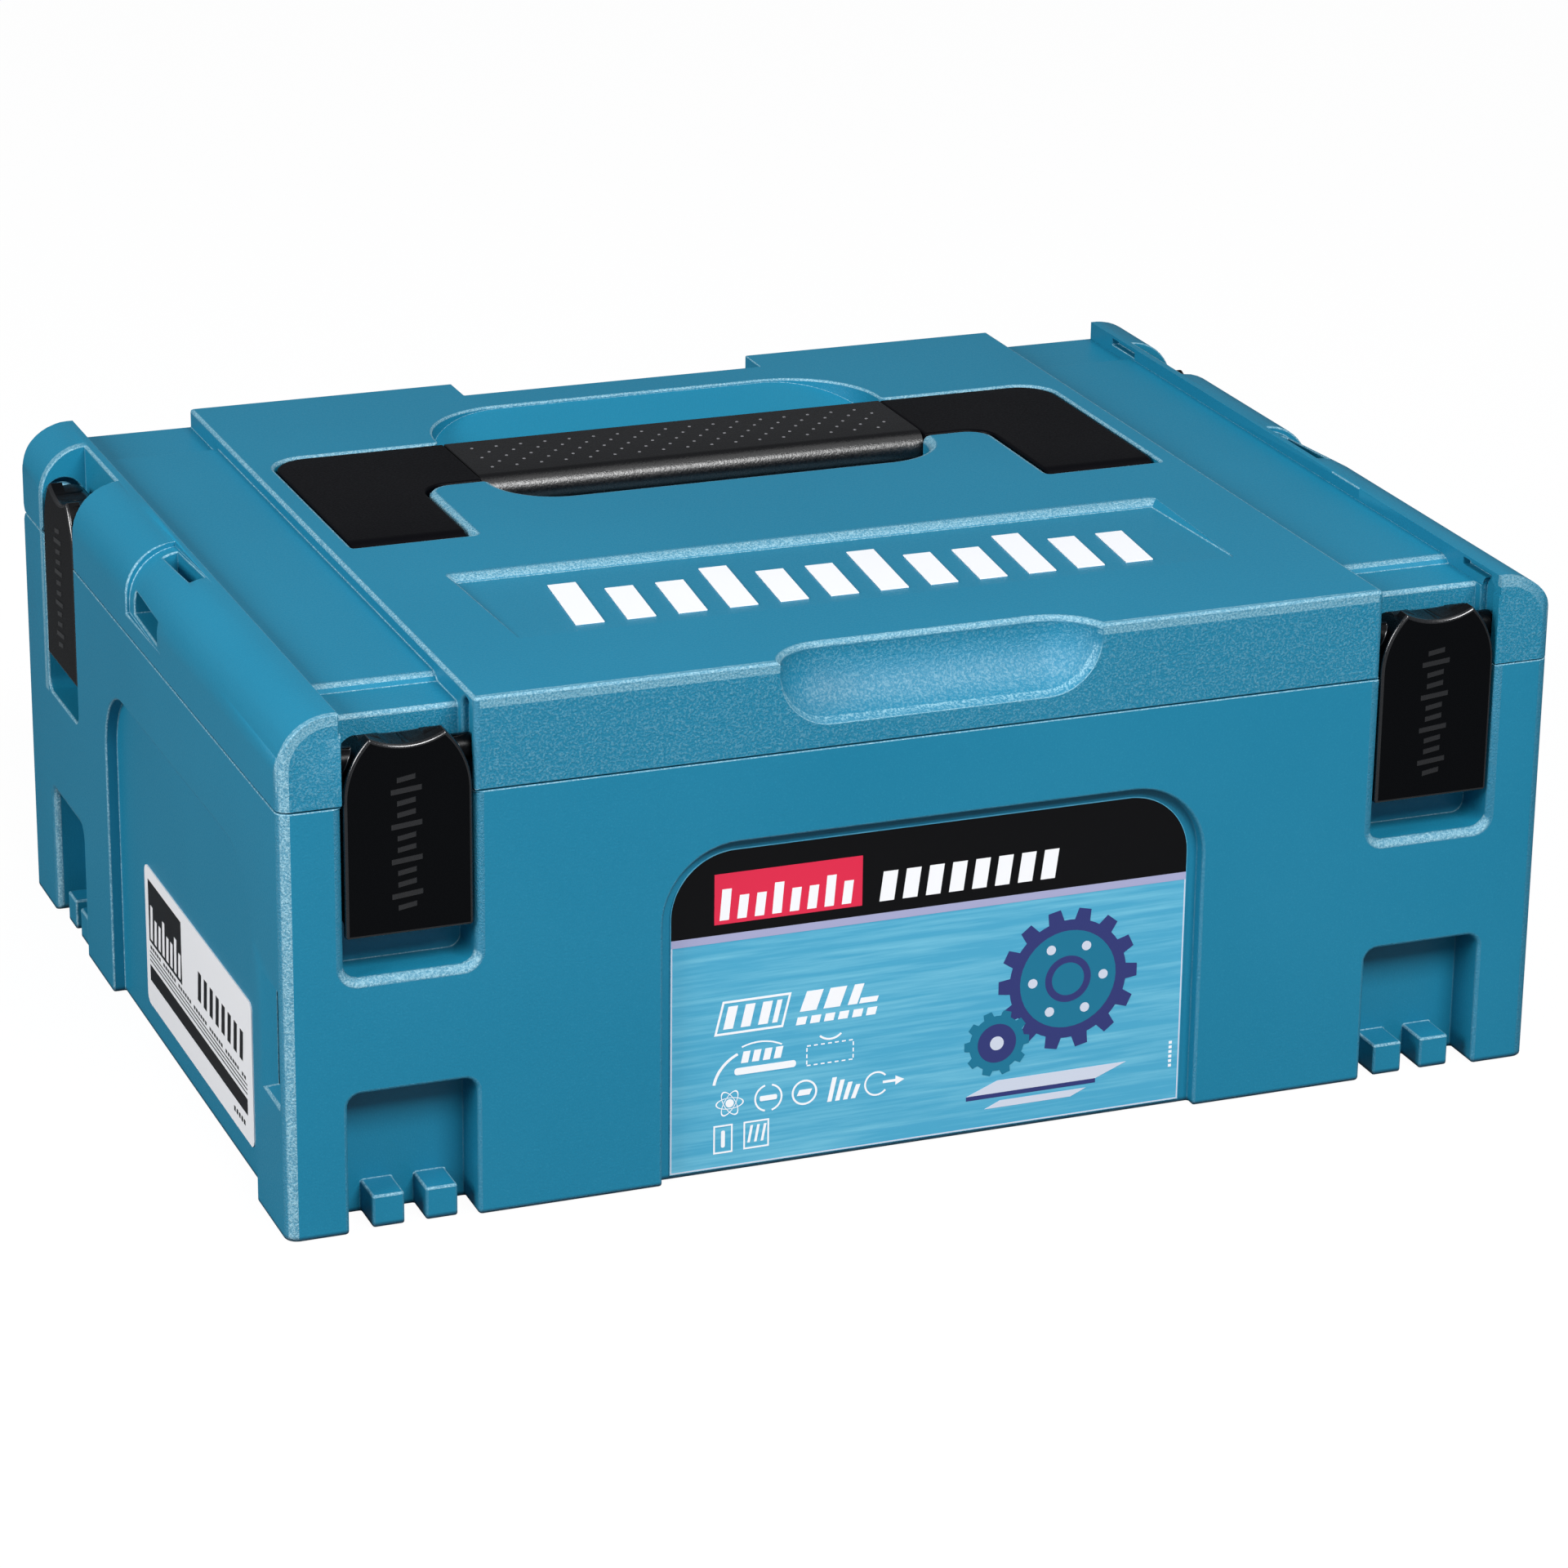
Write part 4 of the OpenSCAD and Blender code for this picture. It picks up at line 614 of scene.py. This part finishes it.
def case_radius(m, convex):
    """rounding of the case's shells round a point: broad outside, small on teeth, seam, hinge and panels"""
    x, y, z = abs(m.x) / MM, m.y / MM, m.z / MM
    front_teeth = 142 < x < 179 and y > -147.9
    side_teeth = 82 < y < 118 and x < 197.9
    front_catch = x > 130 and y > -147.5
    side_catch = x < 197.5 and 80 < y < 120
    if not convex:
        r = 0.3
    elif y > 126 and z > 100:
        r = 0.4                                                  # hinge and rear rim
    elif 126 < z < 134 and (y < -140 or x < 190):
        r = 0.35                                                 # seam in front and inside
    elif z > 134 and x > 175 and -34 < y < 20:
        r = 0.6                                                  # strap loops
    elif z < 11 and (front_teeth or side_teeth) or 100 < z < 117 and (front_catch or side_catch):
        r = 0.8
    elif z < 112 and (y < -143 and x < 92 or x > 193 and -140 < y < 78):
        r = 0.9                                                  # label panels
    elif z > 150 and y < -140 and x < 140:
        r = LID_FRONT_R
    elif z < 50 and 130 < x < 190 and y < -140:
        r = 1.2                                                  # front alcoves
    else:
        r = CASE_R
    return r * MM


def radii(convex_r, concave_r):
    return lambda m, convex: (convex_r if convex else concave_r) * MM


ROUND = {  # node: convex radius, concave radius (mm)
    "handle_frame": (0.9, 0.4), "handle_grip": (0.5, 0.2),
    "latch_front_left": (1.0, 0.3), "latch_front_right": (1.0, 0.3), "latch_side_left": (1.0, 0.3),
    "latch_side_right": (1.0, 0.3), "lid_badge": (0.12, 0.1), "insert_tray": (1.5, 1.2),
    "jig_housing_left": (1.8, 0.8), "jig_housing_right": (1.8, 0.8), "jig_soft_cover": (1.4, 0.6),
    "jig_sole_plate": (0.5, 0.3), "jig_sole_cradle": (0.5, 0.3), "jig_bevel_mount": (0.8, 0.4),
    "jig_trigger": (1.2, 0.5), "jig_lock_button": (0.6, 0.2), "jig_speed_dial": (0.3, 0.2),
    "jig_orbital_lever": (0.5, 0.2), "jig_battery_terminal": (0.8, 0.4), "jig_blade_clamp": (0.5, 0.2),
    "jig_roller_bracket": (0.4, 0.2), "jig_guide_roller": (0.3, 0.1), "jig_screws": (0.3, 0.1)}
rounded("base_shell", case_radius, CASE_R * MM, "teal_rim")
rounded("lid_shell", case_radius, LID_FRONT_R * MM, "teal_rim")
for node, (out_r, in_r) in ROUND.items():
    rounded(node, radii(out_r, in_r), out_r * MM, "black_rim" if node in LATCHES else None)
for node, look in LOOK.items():
    if node not in ROUND and node not in SHELLS:
        shown = frame["nodes"][node].data.materials
        shown.clear()
        shown.append(M[look].m)


# ---------- prints, raised motifs and small trim: flat outlines (mm) given a thickness ----------
def around(u, v, r, degrees):
    """a point of a circle"""
    return (u + r * math.cos(math.radians(degrees)), v + r * math.sin(math.radians(degrees)))


def rect(u0, v0, u1, v1, r=0.0):
    if r <= 0:
        return [(u0, v0), (u1, v0), (u1, v1), (u0, v1)]
    corners = ((u1 - r, v0 + r, -90), (u1 - r, v1 - r, 0), (u0 + r, v1 - r, 90), (u0 + r, v0 + r, 180))
    return [around(u, v, r, start + 15 * k) for u, v, start in corners for k in range(7)]


def slant(u0, v0, w, h, lean):
    """a leaning bar"""
    return [(u0, v0), (u0 + w, v0), (u0 + w + lean, v0 + h), (u0 + lean, v0 + h)]


def arc(u, v, r, a0, a1, n=32):
    return [around(u, v, r, a0 + (a1 - a0) * k / n) for k in range(n + 1)]


def disc(u, v, r, n=40):
    return arc(u, v, r, 0, 360 - 360 / n, n - 1)


def band(u, v, r, t, a0=0.0, a1=360.0, squash=1.0, turn=0.0, n=48):
    """a ring or part of one, t thick, as four-cornered pieces"""
    ct, st = math.cos(math.radians(turn)), math.sin(math.radians(turn))

    def at(rad, k):
        x, y = around(0, 0, rad, a0 + (a1 - a0) * k / n)
        y *= squash
        return (u + x * ct - y * st, v + x * st + y * ct)
    return [[at(r - t, k), at(r, k), at(r, k + 1), at(r - t, k + 1)] for k in range(n)]


def frame_of(u0, v0, u1, v1, t, lean=0.0):
    """the four sides of a (leaning) rectangle's outline, t thick"""
    k = lean / (v1 - v0)
    sides = ((u0, v0, u1, v0 + t), (u0, v1 - t, u1, v1), (u0, v0 + t, u0 + t, v1 - t),
             (u1 - t, v0 + t, u1, v1 - t))
    return [[(x + k * (y - v0), y) for x, y in rect(*side)] for side in sides]


def wheel(u, v, r, n):
    """outline of a toothed wheel"""
    tooth = ((0.84, -0.30), (1.0, -0.20), (1.0, 0.20), (0.84, 0.30), (0.84, 0.5))
    return [around(u, v, share * r, 360 / n * (k + step)) for k in range(n) for share, step in tooth]


def relief(name, origin, u_dir, v_dir, shapes, low, high, mat, body, slot, taper=0.0):
    """One mesh of thin prisms (mm) that stand on a surface, from low to high: the surface's origin and two
    directions in it. taper draws their tops in."""
    o, u, v = Vector(origin) * MM, Vector(u_dir), Vector(v_dir)
    n = u.cross(v)
    bm = bmesh.new()
    for i, pts in enumerate(shapes):
        if sum(p[0] * q[1] - q[0] * p[1] for p, q in zip(pts, pts[1:] + pts[:1])) < 0:
            pts = pts[::-1]
        cu, cv = sum(p[0] for p in pts) / len(pts), sum(p[1] for p in pts) / len(pts)
        level = high - 0.004 * (i % 4)                           # overlapping shapes never share a plane
        foot_ring = [bm.verts.new(o + (u * p[0] + v * p[1] + n * low) * MM) for p in pts]
        top_ring = []
        for p in pts:
            k = 1 - taper / (math.hypot(p[0] - cu, p[1] - cv) or 1.0)
            top_ring.append(bm.verts.new(o + (u * (cu + (p[0] - cu) * k) + v * (cv + (p[1] - cv) * k)
                                              + n * level) * MM))
        bm.faces.new(top_ring)
        bm.faces.new(foot_ring[::-1])
        for k in range(len(pts)):
            j = (k + 1) % len(pts)
            bm.faces.new((foot_ring[k], foot_ring[j], top_ring[j], top_ring[k]))
    me = bpy.data.meshes.new(name)
    bm.to_mesh(me)
    bm.free()
    me.materials.append(M[mat].m)
    ob = bpy.data.objects.new(name, me)
    bpy.context.scene.collection.objects.link(ob)
    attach(ob, body)


# front label: dark header, thin stripe, streaked field, plain geometric motifs in the label's colours
FRONT = ((0, -144.4, 0), (1, 0, 0), (0, 0, 1))
LABEL_X, LABEL_TOP, LABEL_R, LABEL_FOOT, STRIPE = 81.4, 100.9, 19.4, 1.7, (72.8, 75.2)
ON_LABEL, ON_BLOCK = 0.05, 0.09                # how high the films stand


def on_front(name, shapes, mat, slot="print_blue", low=0.0, high=ON_LABEL):
    relief("label_" + name, *FRONT, shapes, low, high, mat, "base", slot)


def label_header():
    u, v = LABEL_X - LABEL_R, LABEL_TOP - LABEL_R
    top = arc(u, v, LABEL_R, 0, 90) + arc(-u, v, LABEL_R, 90, 180)
    on_front("header", [[(-LABEL_X, STRIPE[1]), (LABEL_X, STRIPE[1])] + top], "print_black")
    on_front("stripe", [rect(-LABEL_X, STRIPE[0], LABEL_X, STRIPE[1])], "print_lilac")
    on_front("red_block", [rect(-68.2, 78.4, -22.4, 94)], "print_red", low=ON_LABEL, high=ON_BLOCK)
    bars = [slant(-66.6 + 5.4 * k, 79.6, 2.9, 9.6 if k % 3 == 0 else 7.2, 0.8) for k in range(8)]
    on_front("red_block_bars", bars, "print_white", "print_white", ON_BLOCK, 0.12)
    on_front("header_bars", [slant(-17 + 7.3 * k, 78.9, 4.6, 9.2, 1.2) for k in range(8)], "print_white",
             "print_white", ON_LABEL, ON_BLOCK)


def bar_signs():
    """a leaning frame with bars, and broken bars beside it"""
    return (frame_of(-68, 43.6, -46.6, 54.2, 0.7, 2.6)
            + [slant(-65.2 + 5.4 * k, 45.4, 3.0, 7.0, 1.6) for k in range(3)]
            + [slant(-50.0, 45.4, 1.6, 7.0, 1.6)]
            + [slant(u, 47.6, w, 6.2, 2.2) for u, w in ((-41.4, 5.2), (-34.0, 5.2), (-26.4, 3.0))]
            + [slant(-22.8, 47.6, 5.6, 1.7, 0.6)]
            + [slant(-42.6 + 4.4 * k, 43.5, 3.0, 2.4, 0.6) for k in range(6)])


def stroke_sign():
    """short bars over a capsule, under a curved stroke"""
    return (band(-54, 26.5, 14.5, 0.9, 118, 172, 0.85)
            + band(-54, 26.5, 14.5, 0.5, 60, 112, 0.95)
            + [slant(-59.6 + 3.4 * k, 34.0, 2.2, 3.6, 0.8) for k in range(4)]
            + [rect(-61.6, 30.4, -42.4, 32.6, 0.9)])


def dashed_box():
    """a dashed box with a curve over it"""
    out = []
    for k in range(7):
        u = 2.2 * k
        out += [rect(-39.0 + u, 30.0, -37.8 + u, 30.4), rect(-39.0 + u, 36.2, -37.8 + u, 36.6)]
    for k in range(3):
        v = 2.0 * k
        out += [rect(-39.2, 30.6 + v, -38.8, 31.8 + v), rect(-24.6, 30.6 + v, -24.2, 31.8 + v)]
    return out + band(-31.6, 42.4, 5.0, 0.6, 225, 315)


def ring_signs(v=21.8):
    """crossed ovals, a broken ring, a whole ring, shrinking bars, and a ring with an arrow"""
    out = []
    for k in range(3):
        out += band(-63, v, 4.4, 0.45, 0, 360, 0.42, 60 * k)
    out += [disc(-63, v, 1.3)]
    out += band(-50.9, v, 4.4, 0.55, -75, 75) + band(-50.9, v, 4.4, 0.55, 105, 255)
    out += [rect(-53.6, 21.0, -48.2, 22.6, 0.5)]
    out += band(-39.6, v, 4.0, 0.6) + [slant(-42.0, 20.9, 4.0, 1.8, 0.8)]
    out += [slant(-32.4 + 2.5 * k, 17.6, 1.4, 7.6 - 1.1 * k, 1.6) for k in range(4)]
    out += band(-16.8, 21.2, 3.9, 0.55, 40, 320)
    return out + [rect(-14.8, 21.0, -10.6, 21.8), [(-10.8, 19.9), (-8.0, 21.4), (-10.8, 22.9)]]


def framed_signs():
    """two small frames with bars, and a column of dots at the label's right edge"""
    return (frame_of(-68, 6.2, -62, 15.2, 0.5) + [rect(-65.6, 8, -64.4, 13.4, 0.5)]
            + frame_of(-58.6, 6.4, -50.6, 15.2, 0.5)
            + [slant(-57.4 + 2.1 * k, 8.4, 0.8, 5.4, 1.0) for k in range(3)]
            + [rect(78.0, 12.5 + 1.5 * k, 79.0, 13.4 + 1.5 * k) for k in range(6)])


def label_wheels():
    """two meshing wheels over two leaning bars, in film on film"""
    big, small = (44, 46), (21.5, 28.5)
    on_front("wheel", [wheel(*big, 22.5, 14)], "print_navy")
    on_front("wheel_face", [disc(*big, 15.5)], "print_teal", low=0.05, high=0.07)
    on_front("wheel_hub", band(*big, 7.4, 2.2), "print_navy", low=0.07, high=0.09)
    dots = [disc(*around(*big, 11.4, 60 * k), 1.5) for k in range(6)]
    on_front("wheel_dots", dots, "print_grey", low=0.07, high=0.09)
    on_front("small_wheel", [wheel(*small, 10.5, 10)], "print_teal", low=0.09, high=0.11)
    on_front("small_face", [disc(*small, 6.2)], "print_navy", low=0.11, high=0.13)
    on_front("small_hub", [disc(*small, 2.2)], "print_grey", low=0.13, high=0.15)
    on_front("feet", [slant(12, 12.4, 42, 4.0, 10), slant(18, 7.6, 28, 2.2, 5)], "print_grey")
    on_front("foot_edge", [rect(12, 11.0, 54, 12.4)], "print_navy")


label_header()
on_front("signs", bar_signs() + stroke_sign() + dashed_box() + ring_signs() + framed_signs(), "print_white")
label_wheels()
LINE = 0.4                                     # thin line round the label's field
on_front("edge", [rect(-LABEL_X, LABEL_FOOT, -LABEL_X + LINE, STRIPE[0]),
                  rect(LABEL_X - LINE, LABEL_FOOT, LABEL_X, STRIPE[0]),
                  rect(-LABEL_X + LINE, LABEL_FOOT, LABEL_X - LINE, LABEL_FOOT + LINE)], "print_grey")

# side label: white film with dark bars; u runs forward from its rear end, v up from its foot
SIDE_ORIGIN = (-194.4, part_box("side_label")[1].y / MM, 9.0)


def on_side(name, shapes, mat, low=0.0, high=ON_LABEL):
    relief("side_label_" + name, SIDE_ORIGIN, (0, -1, 0), (0, 0, 1), shapes, low, high, mat,
           "base", "print_white")


on_side("block", [rect(4, 21.5, 42, 42)], "print_black")
bars = [slant(5.6 + 4.6 * k, 22.6, 2.6, 11.5 if k % 3 == 0 else 8.2, 0.8) for k in range(8)]
on_side("block_bars", bars, "print_white", ON_LABEL, ON_BLOCK)
dark = [slant(60 + 6.5 * k, 24.0, 3.4, 9.5, 1.0) for k in range(8)]
dark += [rect(4, 8.4, 113, 13.6)]
dark += [rect(4, v, 113, v + 0.45) for v in (15.0, 16.4, 17.8)]
dark += [rect(5 + 2.5 * k, 19.2, 6.7 + 2.5 * k, 20.3) for k in range(43) if k % 7 != 5]
dark += [rect(98 + 2.6 * k, 4.0, 99.6 + 2.6 * k, 5.6) for k in range(5)]
on_side("bars", dark, "print_black")


def latch_bars(count=12, lowest=97.2, pitch=3.45):
    """a column of leaning bars, every third one wider"""
    out = []
    for k in range(count):
        z = lowest + pitch * k
        w = 5.2 if k % 3 == 1 else 3.4
        out.append([(-w, z), (w - 1.2, z + 0.9), (w - 1.2, z + 2.5), (-w, z + 1.6)])
    return out


# for each latch: the foot of its face's middle line, and the direction across the face
LATCH_FACE = (((-160.25, -147.8, 0), (1, 0, 0)), ((160.25, -147.8, 0), (1, 0, 0)),
              ((-197.8, 100, 0), (0, -1, 0)), ((197.8, 100, 0), (0, 1, 0)))
for node, (at, across) in zip(LATCHES, LATCH_FACE):
    relief(node + "_bars", at, across, (0, 0, 1), latch_bars(), -0.05, 0.19, "black_rim",
           node, "case_black", 0.3)

# handle grip: staggered dots on top of the bar
DOT_ROWS, DOTS, DOT_PITCH, ROW_PITCH, DOT_R = 5, 17, 8.2, 5.2, 0.62
dots = []
for row in range(DOT_ROWS):
    for k in range(DOTS):
        x = -68 + DOT_PITCH * k + (DOT_PITCH / 2 if row % 2 else 0)
        if abs(x) < 70:
            dots.append(disc(x, 56.5 + ROW_PITCH * row, DOT_R, 8))
relief("grip_dots", (0, 0, 157.2), (1, 0, 0), (0, 1, 0), dots, -0.05, 0.14, "grip_dot",
       "handle", "grip_black", 0.2)


# ---------- stage ----------
def node_tree(block):
    block.use_nodes = True
    return block.node_tree.nodes, block.node_tree.links


def studio():
    """world: white to the camera, dim and slightly blue to the object"""
    world = bpy.data.worlds.new("studio")
    bpy.context.scene.world = world
    n, l = node_tree(world)
    white = n.new("ShaderNodeBackground")
    white.inputs["Color"].default_value = (1, 1, 1, 1)
    white.inputs["Strength"].default_value = 1.0
    dim = n["Background"]
    dim.inputs["Color"].default_value = (0.93, 0.96, 1.0, 1)
    ray = n.new("ShaderNodeLightPath")
    strength = n.new("ShaderNodeMapRange")                       # reflections show more of the pale studio
    strength.inputs["To Min"].default_value, strength.inputs["To Max"].default_value = 0.14, 0.19
    l.new(ray.outputs["Is Glossy Ray"], strength.inputs["Value"])
    l.new(strength.outputs["Result"], dim.inputs["Strength"])
    mix = n.new("ShaderNodeMixShader")
    l.new(ray.outputs["Is Camera Ray"], mix.inputs["Fac"])
    l.new(dim.outputs[0], mix.inputs[1])
    l.new(white.outputs[0], mix.inputs[2])
    l.new(mix.outputs[0], n["World Output"].inputs["Surface"])


def floor(half=6.0):
    """floor: nearly white to the camera with a faint contact shadow, dark to the object"""
    me = bpy.data.meshes.new("floor")
    corners = [(-half, -half, 0), (half, -half, 0), (half, half, 0), (-half, half, 0)]
    me.from_pydata(corners, [], [(0, 1, 2, 3)])
    ob = bpy.data.objects.new("floor", me)
    bpy.context.scene.collection.objects.link(ob)
    ob.location.z = -0.0004
    m = bpy.data.materials.new("floor")
    n, l = node_tree(m)
    dark = n["Principled BSDF"]
    dark.inputs["Base Color"].default_value = (0.11, 0.113, 0.117, 1)
    dark.inputs["Roughness"].default_value = 0.7
    bright = n.new("ShaderNodeEmission")
    bright.inputs["Strength"].default_value = 1.36
    ray = n.new("ShaderNodeLightPath")
    share = n.new("ShaderNodeMath")
    share.operation = "MULTIPLY"
    share.inputs[1].default_value = 0.71
    mix = n.new("ShaderNodeMixShader")
    l.new(ray.outputs["Is Camera Ray"], share.inputs[0])
    l.new(share.outputs[0], mix.inputs["Fac"])
    l.new(dark.outputs[0], mix.inputs[1])
    l.new(bright.outputs[0], mix.inputs[2])
    l.new(mix.outputs[0], n["Material Output"].inputs["Surface"])
    me.materials.append(m)


def area(name, place, target, size, power):
    lamp = bpy.data.lights.new(name, "AREA")
    lamp.shape = "RECTANGLE"
    lamp.size, lamp.size_y = size
    lamp.energy = power
    ob = bpy.data.objects.new(name, lamp)
    bpy.context.scene.collection.objects.link(ob)
    ob.location = place
    ob.rotation_euler = (Vector(target) - Vector(place)).to_track_quat("-Z", "Y").to_euler()


def camera(azimuth, elevation, roll, distance, target, lens):
    """looks at the target from azimuth degrees round the front and elevation degrees above it"""
    az, el = math.radians(azimuth), math.radians(elevation)
    back = Vector((math.sin(az) * math.cos(el), -math.cos(az) * math.cos(el), math.sin(el)))
    level = Vector((math.cos(az), math.sin(az), 0))
    right = level * math.cos(roll) - back.cross(level) * math.sin(roll)
    up = back.cross(right)
    cam = bpy.data.cameras.new("camera")
    cam.sensor_width = 36
    cam.lens = lens
    ob = bpy.data.objects.new("camera", cam)
    bpy.context.scene.collection.objects.link(ob)
    turn = Matrix((right, up, back)).transposed().to_4x4()
    ob.matrix_world = Matrix.Translation(Vector(target) + back * distance) @ turn
    bpy.context.scene.camera = ob


studio()
floor()
area("key", (0.2, -1.56, 1.52), (0, 0, 0.1), (1.2, 0.7), 51)
area("top", (0.7, -0.2, 1.8), (0.1, 0, 0.1), (1.0, 0.8), 3)
area("left", (-1.8, -0.45, 0.95), (0, 0, 0.08), (1.0, 0.8), 36)
area("front", (-0.3, -2.4, 0.9), (0, 0, 0.08), (1.6, 0.8), 1.2)
camera(azimuth=-21.5, elevation=20.6, roll=-0.012, distance=1.6865, target=(0.0097, 0, 0.0608), lens=122.2)
bpy.context.scene.view_settings.view_transform = "Standard"
